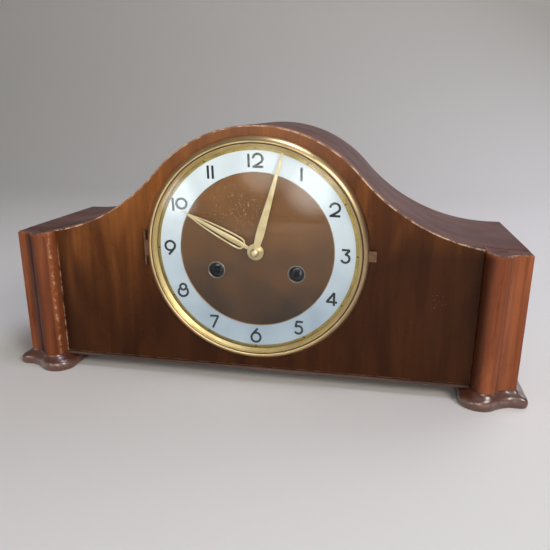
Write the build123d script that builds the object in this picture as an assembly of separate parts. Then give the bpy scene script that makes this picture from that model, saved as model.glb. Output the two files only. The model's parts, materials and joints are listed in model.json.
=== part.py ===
from build123d import *
import math
import os

# Mantel clock with a hat-shaped wooden case, a hinged bezel, and a two-train striking movement.
# Lengths are millimetres, angles degrees. While it is built, x runs to the right, y back from the
# front panel's face and z up from the dial's centre. At the end the whole clock is set on the floor.

# Case
PANEL_HALF = 174.6
PANEL_T = 9.0
PANEL_DROP = 100.4
PANEL_HOLE_R = 56.0
CREST_H = 98.5
CREST_R = 109.3
COVE_R = 160.5
SHOULDER_H = 8.4
CASE_DEPTH = 130.8
ROOF_T = 5.0
END_T = 8.0
END_INSET = 1.0
BACK_T = 7.0
BASE_T = 8.0
BASE_LIP = 2.2
BASE_PROUD = 0.8

# Corner columns and moulded feet: distances across from the panel's edge, and forward of its face.
# The foot's sweep is given as shares of its height and of its flare.
COLUMN_W = 34.9
COLUMN_BACK = 14.0
COLUMN_EDGE_R = 3.0
BULGE_AT = 9.7
BULGE_PROUD = 13.3
BULGE_W = 18.1
KNEE_PROUD = 7.9
COVE_MID = 21.8
COVE_MID_PROUD = 4.6
COVE_W = 27.0
COVE_PROUD = 2.1
FOOT_H = 13.1
FOOT_FLARE_IN = 9.6
FOOT_FLARE_OUT = 9.0
FOOT_FLARE_FRONT = 5.0
FOOT_BACK = 42.0
FOOT_INNER_SHARE = 0.6
FOOT_SWEEP = [(0.0, 1.0), (0.46, 1.0), (0.62, 0.86), (0.80, 0.45), (0.92, 0.15), (1.0, 0.06)]
REAR_FOOT_L = 38.0
REAR_FOOT_W = 36.0
REAR_FOOT_INSET = 5.0
REAR_FOOT_BEVEL = 1.5

# Dial
DIAL_SUNK = 0.9
DIAL_DISH = 2.2
DIAL_T = 0.9
DIAL_BORE = 4.6
PAN_R = 88.2
PAN_WALL = 1.0
PAN_FIT = 0.4
RING_IN = 62.9
RING_OUT = 79.8
RING_T = 0.4
WIND_X = 33.2
WIND_DROP = 17.2
GROMMET_OUT = 7.25
GROMMET_IN = 6.25
GROMMET_WALL = 0.35
GROMMET_T = 0.5

# Bezel and its hinge
BEZEL_R = 91.1
BEZEL_GAP = 0.5
BEZEL_CREST = 5.3
BEZEL_CREST_R = 87.0
BEZEL_BEAD_BOW = 0.2
BEZEL_LIP_IN = 84.6
BEZEL_LIP_PROUD = 4.9
BEZEL_LIP_T = 0.5
BEZEL_SEAT = 85.2
BEZEL_FLANK_BOW = 0.65
BEZEL_STRAP_IN = 3.0
GLASS_SAG = 7.3
GLASS_T = 1.5
GLASS_BED = 0.3
GLASS_CLEAR = 0.2
RETAINER_W = 0.7
RETAINER_IN = 82.4
RETAINER_EDGE = 0.8
RETAINER_CLEAR = 0.3
BEZEL_HINGE_OUT = 1.2
BEZEL_HINGE_PROUD = 2.4
BEZEL_KNUCKLE_R = 1.0
BEZEL_PIN_R = 0.5
BEZEL_KNUCKLE_L = 13.0
BEZEL_HINGE_L = 28.8
BEZEL_STRAP_T = 1.2
BEZEL_LEAF_T = 0.4
CATCH_OUT = 4.5
CATCH_LOW = 2.5
CATCH_HIGH = 6.0
CATCH_T = 1.8
CATCH_LIFT = 1.2

# Back door
DOOR_W = 150.0
DOOR_LOW = 86.0
DOOR_HIGH = 42.0
DOOR_CLEAR = 0.8
DOOR_SLOTS = 9
DOOR_SLOT_W = 3.0
DOOR_SLOT_L = 54.0
DOOR_SLOT_PITCH = 9.0
DOOR_HINGE_AT = 46.0
DOOR_HINGE_L = 26.0
DOOR_KNUCKLE_R = 1.6
DOOR_PIN_R = 0.8
DOOR_LEAF_W = 11.0
DOOR_LEAF_T = 0.9
DOOR_LEAF_OFF = 1.85
DOOR_LEAF_LAP = 0.55
KNOB_R = 6.0
KNOB_L = 9.0
KNOB_TURNING = [(0.7, 0.0), (0.45, 0.35), (1.0, 0.7), (0.7, 1.0)]

# Movement frame
SPACER_L = 4.0
SPACER_R = 4.0
SCREW_R = 1.6
SCREW_HEAD_R = 3.4
SCREW_HEAD_T = 2.2
SCREW_BITE = 4.5
PLATE_T = 1.6
PLATE_HALF = 62.0
PLATE_LOW = 48.0
PLATE_HIGH = 52.0
PILLAR_R = 3.2
PILLAR_INSET = 5.0
SCREW_INSET = 17.0
RUN_FIT = 0.05
END_SHAKE = 0.3
PIVOT_R = 0.6
STUD_R = 1.0
STUD_OVER = 0.8
PLATE_CORNER_R = 4.0
PILLAR_END_R = 1.6

# Wheel work: tooth half widths as shares of the pitch, counts and modules
TOOTH_TIP = 0.11
TOOTH_ROOT = 0.26
ADDENDUM = 0.80
DEDENDUM = 1.20
RIM_W = 0.6
SPOKES = 5
HOLE_SHARE = 0.42
GREAT_TEETH = 72
GREAT_PINION = 10
GREAT_MODULE = 0.64
SECOND_TEETH = 60
SECOND_PINION = 10
SECOND_MODULE = 0.5
CENTRE_TEETH = 96
CENTRE_PINION = 8
THIRD_TEETH = 88
THIRD_PINION = 8
FINE_MODULE = 0.3
ESCAPE_TEETH = 40
ESCAPE_R = 9.0
ESCAPE_DEPTH = 1.5
ESCAPE_RAKE = 0.4
ESCAPE_TIP = 0.08
ESCAPE_HEEL = 0.1
PIN_TEETH = 64
PIN_PINION = 8
PIN_MODULE = 0.4
PIN_COUNT = 15
PIN_CIRCLE = 10.0
PIN_R = 0.5
PIN_L = 2.6
WARNING_TEETH = 56
WARNING_PINION = 8
CANNON_TEETH = 12
MINUTE_TEETH = 36
CANNON_MODULE = 0.5
MINUTE_PINION = 12
HOUR_TEETH = 48

# Wheel work: places and thicknesses
GREAT_GAP = 1.4
GREAT_T = 2.4
DRUM_R = 21.0
DRUM_WALL = 1.0
DRUM_L = 22.6
WHEEL_T = 1.2
PINION_OVER = 1.2
LEAF_OVER = 0.6
SECOND_HUB = 2.5
CENTRE_HUB = 2.6
THIRD_HUB = 2.2
WARNING_HUB = 2.0
MINUTE_HUB = 3.6
HOUR_HUB = 4.0
LEVEL_GAP = 1.4
BACK_ROOM = 5.8
CENTRE_LEVEL = 3.6
THIRD_LEVEL = 11.6
PIN_LEVEL = 15.6
WARNING_LEVEL = 20.6
THIRD_SIDE = 3.0
ANCHOR_RISE = 12.4
ANCHOR_HOLE_R = 2.0
STRIKE_SECOND_ANGLE = 64.75
PIN_ANGLE = 115.0
WARNING_ANGLE = 50.0
FLY_ANGLE = 75.0
ARBOR_R = 1.5
FINE_ARBOR_R = 0.8
SPRING_TURNS = 9
SPRING_T = 0.5
SPRING_IN = 5.0
SPRING_STEPS = 20
SPRING_CLEAR = 0.3
SPRING_SIDE = 0.5
WIND_ARBOR_R = 2.8
WIND_SQUARE = 4.2
WIND_END = 0.2
RATCHET_TEETH = 24
RATCHET_R = 9.0
RATCHET_DEPTH = 1.4
RATCHET_T = 2.0
CLICK_REACH = 10.0
CLICK_R = 2.4
CLICK_GAP = 0.2
CLICK_NOSE = 1.6
CLICK_WAIST = 1.9
CLICK_SIDE = 120.0

# Hands and motion work
CENTRE_R = 1.5
CANNON_PIPE_R = 2.2
HOUR_PIPE_R = 3.0
HOUR_WHEEL_GAP = 1.3
MOTION_GAP = 1.0
MOTION_OVER = 0.4
RATCHET_GAP = 0.8
HOUR_HAND_LIFT = 2.0
MINUTE_HAND_LIFT = 1.2
HAND_T = 0.7
HOUR_BOSS_R = 6.75
HOUR_BOSS_T = 1.0
MINUTE_BOSS_R = 5.3
NUT_R = 4.3
NUT_H = 3.8
NUT_CAP = 0.8
NUT_DOME = [(1.0, 0.21), (0.8, 0.62), (0.42, 1.0)]
MINUTE_AT = 15.6
HOUR_AT = 297.2

# Hand shapes: half widths and distances from the hub, for the edge on one side
HOUR_LEAF = [(1.2, 0), (1.3, 9), (5.0, 15.5), (5.0, 24), (3.6, 45), (0.35, 68.5)]
HOUR_SLOT = [(2.2, 15.5), (3.7, 17), (3.7, 24), (2.5, 45), (1.4, 53.5), (1.3, 45), (2.1, 24)]
MINUTE_LANCE = [(2.4, 0), (2.6, 6), (3.3, 14), (3.1, 22), (0.6, 81.3)]

# Pendulum, escapement and strike
COCK_HALF = 14.0
COCK_T = 1.4
COCK_STAND = 3.2
COCK_LOW = 3.0
COCK_HIGH = 10.0
COCK_LEG = 5.0
CLAMP_HALF = 4.0
CLAMP_H = 6.0
CRUTCH_L = 30.0
CRUTCH_T = 1.2
CRUTCH_W = 3.0
CRUTCH_GAP = 0.8
CRUTCH_TOP = 2.0
FORK_GAP = 0.3
PRONG_W = 1.0
PRONG_H = 3.0
PRONG_OVER = 2.0
PALLET_GAP = 1.6
PALLET_W = 1.2
PALLET_LOW = 2.0
PALLET_OVER = 0.3
ARM_EDGE = [(2.0, 2.0), (11.8, -3.0)]
ARM_HOLLOW = [(10.2, -4.2), (0.0, -1.9)]
ROD_R = 1.25
ROD_BACK = 7.0
SUSPENSION_W = 4.0
SUSPENSION_T = 0.3
SUSPENSION_UP = 9.0
SUSPENSION_DOWN = 5.0
PENDULUM_L = 109.0
ROD_HEAD_W = 4.4
ROD_HEAD_T = 4.0
ROD_HEAD_TOP = 1.5
ROD_HEAD_LOW = 9.0
ROD_SLOT_ROOM = 0.5
ROD_TAIL = 2.0
BOB_R = 14.0
BOB_T = 9.0
BOB_EDGE = 2.4
BOB_BOW = (7.7, 3.5)
RATING_R = 4.0
RATING_L = 4.0
RATING_GAP = 0.2
COUNT_R = 16.0
COUNT_DEPTH = 2.0
COUNT_GAP = 0.8
COUNT_T = 1.2
COUNT_STUB = 3.0
HAMMER_X = 56.0
HAMMER_Z = -1.0
HAMMER_DOWN = 61.0
HAMMER_OUT = 56.0
HAMMER_HEAD_R = 4.5
HAMMER_HEAD_L = 11.0
HAMMER_ARM_W = 2.8
HAMMER_ARM_T = 2.0
HAMMER_ARM_GAP = 2.0
HAMMER_HUB = 3.0
TAIL_HUB = 2.6
TAIL_TIP = 0.7
TAIL_CLEAR = 0.4
TAIL_SIDE = 0.6
ROD_GONG_R = 1.6
ROD_GONG_L = 220.0
ROD_GONG_PITCH = 11.0
ROD_GONG_Y = 73.0
GONG_STRIKE_GAP = 1.5
GONG_BLOCK_L = 18.0
GONG_BLOCK_X = 162.0
GONG_BLOCK_SIDE = 9.0
GONG_BLOCK_UP = 7.0
GONG_BLOCK_BEVEL = 2.0
FLY_R = 8.0
FLY_L = 10.0
FLY_T = 0.8
FLY_GAP = 3.0

# Heights and depths worked out from the sizes above
FLOOR = -PANEL_DROP - FOOT_H
CASE_HALF = PANEL_HALF + COLUMN_W - END_INSET
CREST_Z = CREST_H - CREST_R
COVE_Z = SHOULDER_H + COVE_R
COVE_X = math.sqrt((CREST_R + COVE_R) ** 2 - (COVE_Z - CREST_Z) ** 2)
BASE_TOP = -PANEL_DROP - BASE_LIP + BASE_T
BACK_IN = CASE_DEPTH - BACK_T
DIAL_RIM = DIAL_SUNK
DIAL_FLOOR = DIAL_RIM + DIAL_DISH
DIAL_FACE = DIAL_FLOOR - RING_T
REBATE = DIAL_FLOOR + DIAL_T
REBATE_R = PAN_R + PAN_FIT
FRONT = PANEL_T + SPACER_L
FRONT_IN = FRONT + PLATE_T
GREAT_Y = FRONT_IN + GREAT_GAP
DRUM_Y = GREAT_Y + GREAT_T
DRUM_END = DRUM_Y + DRUM_L
SECOND_Y = DRUM_END + LEVEL_GAP
STRIKE_SECOND_Y = SECOND_Y + WHEEL_T + LEVEL_GAP
BACK_PLATE = STRIKE_SECOND_Y + WHEEL_T + BACK_ROOM
REAR = BACK_PLATE + PLATE_T
CENTRE_Y = DRUM_Y + CENTRE_LEVEL
THIRD_Y = DRUM_Y + THIRD_LEVEL
PIN_Y = DRUM_Y + PIN_LEVEL
WARNING_Y = DRUM_Y + WARNING_LEVEL
ESCAPE_Y = STRIKE_SECOND_Y


def polar(at, distance, angle):
    """Point at a distance and angle from another, angles from +x towards +z."""
    turn = math.radians(angle)
    return (at[0] + distance * math.cos(turn), at[1] + distance * math.sin(turn))


def heading(a, b):
    """Angle of the line from a to b."""
    return math.degrees(math.atan2(b[1] - a[1], b[0] - a[0]))


def reach(a, ra, b, rb):
    """Point at ra from a and rb from b, on the left of the way from a to b."""
    gap = math.dist(a, b)
    along = (ra ** 2 - rb ** 2 + gap ** 2) / (2 * gap)
    off = math.sqrt(ra ** 2 - along ** 2)
    ux, uz = (b[0] - a[0]) / gap, (b[1] - a[1]) / gap
    return (a[0] + along * ux - off * uz, a[1] + along * uz + off * ux)


def centres(wheel, pinion, module):
    return (wheel + pinion) * module / 2


# Arbor centres in the plane of the plates
CENTRE = (0.0, 0.0)
GOING = (WIND_X, -WIND_DROP)
STRIKE = (-WIND_X, -WIND_DROP)
GREAT_D = centres(GREAT_TEETH, GREAT_PINION, GREAT_MODULE)
SECOND_D = centres(SECOND_TEETH, SECOND_PINION, SECOND_MODULE)
THIRD_D = centres(CENTRE_TEETH, CENTRE_PINION, FINE_MODULE)
ESCAPE_D = centres(THIRD_TEETH, THIRD_PINION, FINE_MODULE)
SECOND = reach(CENTRE, SECOND_D, GOING, GREAT_D)
THIRD = (-THIRD_SIDE, math.sqrt(THIRD_D ** 2 - THIRD_SIDE ** 2))
ESCAPE = (0.0, THIRD[1] + math.sqrt(ESCAPE_D ** 2 - THIRD_SIDE ** 2))
ANCHOR = (0.0, ESCAPE[1] + ANCHOR_RISE)
STRIKE_SECOND = polar(STRIKE, GREAT_D, STRIKE_SECOND_ANGLE)
PIN = polar(STRIKE_SECOND, SECOND_D, PIN_ANGLE)
WARNING = polar(PIN, centres(PIN_TEETH, PIN_PINION, PIN_MODULE), WARNING_ANGLE)
FLY = polar(WARNING, centres(WARNING_TEETH, WARNING_PINION, FINE_MODULE), FLY_ANGLE)
MOTION_D = centres(MINUTE_TEETH, CANNON_TEETH, CANNON_MODULE)
MINUTE = (0.0, -MOTION_D)
HOUR_MODULE = 2 * MOTION_D / (HOUR_TEETH + MINUTE_PINION)
HAMMER = (-HAMMER_X, HAMMER_Z)

# Depths of the hands and the motion work, forward of the plates
MINUTE_WHEEL_Y = FRONT - MOTION_GAP - WHEEL_T
HOUR_WHEEL_Y = MINUTE_WHEEL_Y - HOUR_WHEEL_GAP - WHEEL_T
HOUR_HAND_Y = DIAL_FACE - HOUR_HAND_LIFT - HAND_T
MINUTE_HAND_Y = HOUR_HAND_Y - MINUTE_HAND_LIFT - HAND_T
NUT_Y = MINUTE_HAND_Y - NUT_H
RATCHET_Y = FRONT - RATCHET_GAP - RATCHET_T


def front_plane(y):
    """Plane facing the front, with its own x and y along x and z."""
    return Plane(origin=(0, y, 0), x_dir=(1, 0, 0), z_dir=(0, -1, 0))


def slab(face, y0, y1):
    """A face drawn in x and z, made thick from depth y0 to y1."""
    return extrude(front_plane(y1) * face, amount=y1 - y0, dir=(0, -1, 0))


def disc(radius, y0, y1, at=CENTRE):
    return slab(Pos(*at) * Circle(radius), y0, y1)


def ring(outer, inner, y0, y1, at=CENTRE):
    return slab(Pos(*at) * (Circle(outer) - Circle(inner)), y0, y1)


def block(x0, x1, y0, y1, z0, z1):
    middle = Pos((x0 + x1) / 2, (y0 + y1) / 2, (z0 + z1) / 2)
    return middle * Box(x1 - x0, y1 - y0, z1 - z0)


def post(radius, z0, z1, x, y):
    """Upright round bar."""
    return Pos(x, y, (z0 + z1) / 2) * Cylinder(radius, z1 - z0)


def outline(points):
    return make_face(Polyline(*points, close=True))


def lathe(profile, at=CENTRE):
    """Profile of (radius, depth) corners turned about the front-to-back line through a point."""
    return Pos(at[0], 0, at[1]) * revolve(outline(profile), Axis.Y)


def both_sides(solid):
    return [solid, mirror(solid, Plane.YZ)]


def hat_face(half, inset=0.0):
    """The hat: a crest arc, a hollow arc each side and flat shoulders, down to the panel's foot."""
    crest, cove = CREST_R - inset, COVE_R + inset
    share = crest / (CREST_R + COVE_R)
    tx, tz = COVE_X * share, CREST_Z + (COVE_Z - CREST_Z) * share
    end = min(half, COVE_X)

    def hollow(x):
        return COVE_Z - math.sqrt(cove ** 2 - (COVE_X - x) ** 2)

    middle = (tx + end) / 2
    right = [ThreePointArc((tx, tz), (middle, hollow(middle)), (end, hollow(end)))]
    if half > end:
        right.append(Line((end, hollow(end)), (half, hollow(end))))
    right.append(Line((half, hollow(end)), (half, -PANEL_DROP)))
    left = [mirror(edge, Plane.YZ) for edge in right]
    crest_arc = ThreePointArc((-tx, tz), (0, CREST_Z + crest), (tx, tz))
    bottom = Line((-half, -PANEL_DROP), (half, -PANEL_DROP))
    return make_face([crest_arc, bottom] + right + left)


def corner_plan(flare):
    """Plan of a right-hand column (flare 0) or of its foot at the floor (flare 1)."""
    a = PANEL_HALF
    back = COLUMN_BACK + flare * (FOOT_BACK - COLUMN_BACK)
    out, front, inward = flare * FOOT_FLARE_OUT, flare * FOOT_FLARE_FRONT, flare * FOOT_FLARE_IN
    side = a + COLUMN_W + out
    tip = -COVE_PROUD - front
    inner_back, inner_front = (a - inward, back), (a - inward, -COVE_PROUD - front * FOOT_INNER_SHARE)
    bulge = (a + BULGE_AT - inward / 3, -BULGE_PROUD - front)
    knee = (a + BULGE_W, -KNEE_PROUD - front)
    cove = (a + COVE_MID + out / 4, -COVE_MID_PROUD - front)
    cove_end = (a + COVE_W + out / 3, tip)
    edge_in, edge_out = (side - COLUMN_EDGE_R, tip), (side, tip + COLUMN_EDGE_R)
    bend = COLUMN_EDGE_R * (1 - math.sqrt(0.5))
    return make_face([
        Line(inner_back, inner_front),
        ThreePointArc(inner_front, bulge, knee),
        ThreePointArc(knee, cove, cove_end),
        Line(cove_end, edge_in),
        ThreePointArc(edge_in, (side - bend, tip + bend), edge_out),
        Line(edge_out, (side, back)),
        Line((side, back), inner_back),
    ])


def gear_face(gear):
    """Wheel outline with straight-flanked teeth; gear is (centre, teeth, module, tooth angle)."""
    at, teeth, module, start = gear
    pitch = 360 / teeth
    tip, root = (teeth / 2 + ADDENDUM) * module, (teeth / 2 - DEDENDUM) * module
    narrow, wide = TOOTH_TIP * pitch, TOOTH_ROOT * pitch
    points = []
    for tooth in range(teeth):
        middle = start + tooth * pitch
        points += [polar(at, root, middle - wide), polar(at, tip, middle - narrow),
                   polar(at, tip, middle + narrow), polar(at, root, middle + wide)]
    return outline(points)


def meshed(gear, at, teeth):
    """The gear at another centre whose gaps take the given gear's teeth."""
    line = heading(gear[0], at)
    early = (gear[3] - line) % (360 / gear[1])
    start = line + 180 - early * gear[1] / teeth + 180 / teeth
    return (at, teeth, gear[2], start)


def pinion(gear, wheel_y):
    return slab(gear_face(gear), wheel_y - PINION_OVER, wheel_y + WHEEL_T + PINION_OVER)


def crossed_wheel(gear, y, hub):
    """Wheel lightened by round holes between its hub and rim."""
    at, teeth, module, _ = gear
    rim = (teeth / 2 - DEDENDUM - 1) * module - RIM_W
    hole, middle = (rim - hub) * HOLE_SHARE, (rim + hub) / 2
    wheel = slab(gear_face(gear), y, y + WHEEL_T)
    for spoke in range(SPOKES):
        wheel -= disc(hole, y, y + WHEEL_T, polar(at, middle, 360 * spoke / SPOKES))
    return wheel


def arbor(at, radius):
    """Shaft between the plates, with a pivot in each."""
    y0, y1 = FRONT_IN + END_SHAKE, BACK_PLATE - END_SHAKE
    return disc(radius, y0, y1, at) + disc(PIVOT_R, FRONT, y0, at) + disc(PIVOT_R, y1, REAR, at)


# Gears, each phased into the one that drives it
GOING_GREAT = (GOING, GREAT_TEETH, GREAT_MODULE, 0.0)
GOING_SECOND_PINION = meshed(GOING_GREAT, SECOND, GREAT_PINION)
SECOND_WHEEL = (SECOND, SECOND_TEETH, SECOND_MODULE, 0.0)
CENTRE_DRIVEN = meshed(SECOND_WHEEL, CENTRE, SECOND_PINION)
CENTRE_WHEEL = (CENTRE, CENTRE_TEETH, FINE_MODULE, 0.0)
THIRD_DRIVEN = meshed(CENTRE_WHEEL, THIRD, CENTRE_PINION)
THIRD_WHEEL = (THIRD, THIRD_TEETH, FINE_MODULE, 0.0)
ESCAPE_DRIVEN = meshed(THIRD_WHEEL, ESCAPE, THIRD_PINION)
STRIKE_GREAT = (STRIKE, GREAT_TEETH, GREAT_MODULE, 0.0)
STRIKE_SECOND_PINION = meshed(STRIKE_GREAT, STRIKE_SECOND, GREAT_PINION)
STRIKE_WHEEL = (STRIKE_SECOND, SECOND_TEETH, SECOND_MODULE, 0.0)
PIN_DRIVEN = meshed(STRIKE_WHEEL, PIN, SECOND_PINION)
PIN_WHEEL = (PIN, PIN_TEETH, PIN_MODULE, 0.0)
WARNING_DRIVEN = meshed(PIN_WHEEL, WARNING, PIN_PINION)
WARNING_WHEEL = (WARNING, WARNING_TEETH, FINE_MODULE, 0.0)
FLY_DRIVEN = meshed(WARNING_WHEEL, FLY, WARNING_PINION)
CANNON_GEAR = (CENTRE, CANNON_TEETH, CANNON_MODULE, 0.0)
MINUTE_GEAR = meshed(CANNON_GEAR, MINUTE, MINUTE_TEETH)
MINUTE_LEAVES = (MINUTE, MINUTE_PINION, HOUR_MODULE, 0.0)
HOUR_GEAR = meshed(MINUTE_LEAVES, CENTRE, HOUR_TEETH)


def make_base():
    lip_z = -PANEL_DROP - BASE_LIP
    lip = block(-PANEL_HALF, PANEL_HALF, -BASE_PROUD, COLUMN_BACK, lip_z, -PANEL_DROP)
    lip += block(-CASE_HALF, CASE_HALF, COLUMN_BACK, CASE_DEPTH, lip_z, -PANEL_DROP)
    inner = CASE_HALF - END_T
    return lip + block(-inner, inner, COLUMN_BACK, BACK_IN, -PANEL_DROP, BASE_TOP)


def make_column():
    height = PANEL_DROP + COVE_Z
    upright = Pos(0, 0, -PANEL_DROP) * extrude(corner_plan(0), amount=height, dir=(0, 0, 1))
    return upright & slab(hat_face(PANEL_HALF + COLUMN_W), -2 * BULGE_PROUD, COLUMN_BACK)


def make_front_foot(base):
    """Upright lip at the floor, then a hollow sweep up to the column's foot."""
    layers = [Pos(0, 0, FLOOR + up * FOOT_H) * corner_plan(flare) for up, flare in FOOT_SWEEP]
    return loft(layers, ruled=True) - base


def make_rear_foot():
    x1 = CASE_HALF - REAR_FOOT_INSET
    y1 = CASE_DEPTH - REAR_FOOT_INSET
    foot = block(x1 - REAR_FOOT_W, x1, y1 - REAR_FOOT_L, y1, FLOOR, -PANEL_DROP - BASE_LIP)
    return chamfer(foot.edges().group_by(Axis.Z)[0], REAR_FOOT_BEVEL)


def make_roof():
    band = hat_face(CASE_HALF) - hat_face(CASE_HALF, ROOF_T)
    roof = slab(band, PANEL_T, CASE_DEPTH)
    for side in both_sides(block(PANEL_HALF, CASE_HALF, PANEL_T, COLUMN_BACK, -CREST_H, CREST_H)):
        roof -= side
    return roof


def make_end():
    return block(CASE_HALF - END_T, CASE_HALF, COLUMN_BACK, CASE_DEPTH, -PANEL_DROP, SHOULDER_H - ROOF_T)


def make_back_panel():
    panel = slab(hat_face(CASE_HALF - END_T, ROOF_T), BACK_IN, CASE_DEPTH)
    return panel - block(-DOOR_W / 2, DOOR_W / 2, BACK_IN, CASE_DEPTH, -DOOR_LOW, DOOR_HIGH)


# Back door: its hinge line runs upright, just outside the back, on the right seen from the front
DOOR_AXIS_X = DOOR_W / 2 - DOOR_CLEAR / 2
DOOR_AXIS_Y = CASE_DEPTH + DOOR_KNUCKLE_R
DOOR_MIDDLE = (DOOR_HIGH - DOOR_LOW) / 2


def make_door():
    half = DOOR_W / 2 - DOOR_CLEAR
    door = block(-half, half, BACK_IN, CASE_DEPTH, -DOOR_LOW + DOOR_CLEAR, DOOR_HIGH - DOOR_CLEAR)
    for slot in range(DOOR_SLOTS):
        x = (slot - (DOOR_SLOTS - 1) / 2) * DOOR_SLOT_PITCH
        hole = Pos(x, DOOR_MIDDLE) * Rot(0, 0, 90) * SlotOverall(DOOR_SLOT_L, DOOR_SLOT_W)
        door -= slab(hole, BACK_IN, CASE_DEPTH)
    return door


def make_knob():
    """Turned knob near the door's free edge, its neck on the door's face."""
    turned = [(KNOB_R * wide, CASE_DEPTH + KNOB_L * along) for wide, along in KNOB_TURNING]
    profile = [(0, CASE_DEPTH)] + turned + [(0, CASE_DEPTH + KNOB_L)]
    return lathe(profile, (-DOOR_W / 2 + 3 * KNOB_R, DOOR_MIDDLE))


def hinge_heights():
    return [DOOR_MIDDLE - DOOR_HINGE_AT, DOOR_MIDDLE + DOOR_HINGE_AT]


def make_door_leaves(fixed):
    """Flat leaf and knuckles of each butt hinge: two outer knuckles fixed, one middle on the door."""
    third = DOOR_HINGE_L / 3
    spans = [(0, third), (2 * third, DOOR_HINGE_L)] if fixed else [(third, 2 * third)]
    side = 1 if fixed else -1
    bore = DOOR_PIN_R + (0 if fixed else RUN_FIT)
    solids = []
    for middle in hinge_heights():
        low = middle - DOOR_HINGE_L / 2
        x0, x1 = sorted([DOOR_AXIS_X + side * DOOR_LEAF_OFF, DOOR_AXIS_X + side * DOOR_LEAF_W])
        leaf = block(x0, x1, CASE_DEPTH, CASE_DEPTH + DOOR_LEAF_T, low, low + DOOR_HINGE_L)
        for start, end in spans:
            z0, z1 = low + start + END_SHAKE / 2, low + end - END_SHAKE / 2
            leaf += post(DOOR_KNUCKLE_R, z0, z1, DOOR_AXIS_X, DOOR_AXIS_Y)
            a, b = sorted([DOOR_AXIS_X, DOOR_AXIS_X + side * (DOOR_LEAF_OFF + DOOR_LEAF_LAP)])
            leaf += block(a, b, CASE_DEPTH, CASE_DEPTH + DOOR_LEAF_T, z0, z1)
        leaf -= post(bore, low - 1, low + DOOR_HINGE_L + 1, DOOR_AXIS_X, DOOR_AXIS_Y)
        solids.append(leaf)
        if fixed:
            solids.append(post(DOOR_PIN_R, low, low + DOOR_HINGE_L, DOOR_AXIS_X, DOOR_AXIS_Y))
    return solids


def make_dial_plate():
    inner = PAN_R - PAN_WALL
    plate = lathe([
        (DIAL_BORE, DIAL_FLOOR), (RING_IN, DIAL_FLOOR), (RING_OUT, DIAL_RIM), (PAN_R, DIAL_RIM),
        (PAN_R, REBATE), (inner, REBATE), (inner, DIAL_RIM + DIAL_T), (RING_OUT, DIAL_RIM + DIAL_T),
        (RING_IN, DIAL_FLOOR + DIAL_T), (DIAL_BORE, DIAL_FLOOR + DIAL_T)])
    return pierced(plate, DIAL_FLOOR, DIAL_FLOOR + DIAL_T)


def pierced(sheet, y0, y1):
    """The two winding holes, a loose fit round the grommets' barrels."""
    for at in (GOING, STRIKE):
        sheet -= disc(GROMMET_IN + GROMMET_WALL + RUN_FIT, y0, y1, at)
    return sheet


def make_chapter_ring():
    return lathe([(RING_IN, DIAL_FLOOR), (RING_OUT, DIAL_RIM), (RING_OUT, DIAL_RIM - RING_T),
                  (RING_IN, DIAL_FACE)])


def make_centre_disc():
    return pierced(ring(RING_IN, DIAL_BORE, DIAL_FACE, DIAL_FLOOR), DIAL_FACE, DIAL_FLOOR)


def make_grommets():
    wall = GROMMET_IN + GROMMET_WALL
    back = DIAL_FLOOR + DIAL_T + GROMMET_T
    return [ring(GROMMET_OUT, GROMMET_IN, DIAL_FACE - GROMMET_T, DIAL_FACE, at)
            + ring(wall, GROMMET_IN, DIAL_FACE, back, at) for at in (GOING, STRIKE)]


# Bezel: glass seat and hinge line
LIP_Y = -BEZEL_LIP_PROUD + BEZEL_LIP_T
GLASS_EDGE_Y = LIP_Y + GLASS_BED
GLASS_EDGE_R = BEZEL_SEAT - GLASS_CLEAR
GLASS_R = (GLASS_EDGE_R ** 2 + GLASS_SAG ** 2) / (2 * GLASS_SAG)
BEZEL_AXIS_X = -BEZEL_R - BEZEL_HINGE_OUT
BEZEL_AXIS_Y = -BEZEL_HINGE_PROUD


def bezel_flank():
    """The moulding's outer side, rounding from the panel up to the crest, with the ends of that line."""
    base, crest = (BEZEL_R, -BEZEL_GAP), (BEZEL_CREST_R, -BEZEL_CREST)
    run, rise = base[0] - crest[0], base[1] - crest[1]
    out = BEZEL_FLANK_BOW / math.hypot(run, rise)
    middle = ((base[0] + crest[0]) / 2 + out * rise, (base[1] + crest[1]) / 2 - out * run)
    return base, crest, ThreePointArc(base, middle, crest)


def bezel_fill():
    """All that lies within the moulding's outer side, for pieces that butt against it."""
    base, crest, flank = bezel_flank()
    return revolve(make_face([flank, Polyline(crest, (0, crest[1]), (0, base[1]), base)]), Axis.Y)


def make_bezel_ring():
    """Low brass moulding with a rounded flank, and a narrow lip before the glass."""
    base, crest, flank = bezel_flank()
    lip = (BEZEL_LIP_IN, -BEZEL_LIP_PROUD)
    inner_mid = ((crest[0] + lip[0]) / 2, (crest[1] + lip[1]) / 2 - BEZEL_BEAD_BOW)
    face = make_face([
        flank,
        ThreePointArc(crest, inner_mid, lip),
        Polyline(lip, (BEZEL_LIP_IN, LIP_Y), (BEZEL_SEAT, LIP_Y), (BEZEL_SEAT, -BEZEL_GAP), base),
    ])
    return revolve(face, Axis.Y)


def make_glass():
    """Domed glass of even thickness."""
    def rise(r):
        return GLASS_R - math.sqrt(GLASS_R ** 2 - r ** 2)

    apex, half = GLASS_EDGE_Y - GLASS_SAG, GLASS_EDGE_R / 2
    back = apex + GLASS_T
    face = make_face([
        ThreePointArc((0, apex), (half, apex + rise(half)), (GLASS_EDGE_R, GLASS_EDGE_Y)),
        Line((GLASS_EDGE_R, GLASS_EDGE_Y), (GLASS_EDGE_R, GLASS_EDGE_Y + GLASS_T)),
        ThreePointArc((GLASS_EDGE_R, GLASS_EDGE_Y + GLASS_T), (half, back + rise(half)), (0, back)),
        Line((0, back), (0, apex)),
    ])
    return revolve(face, Axis.Y)


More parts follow.
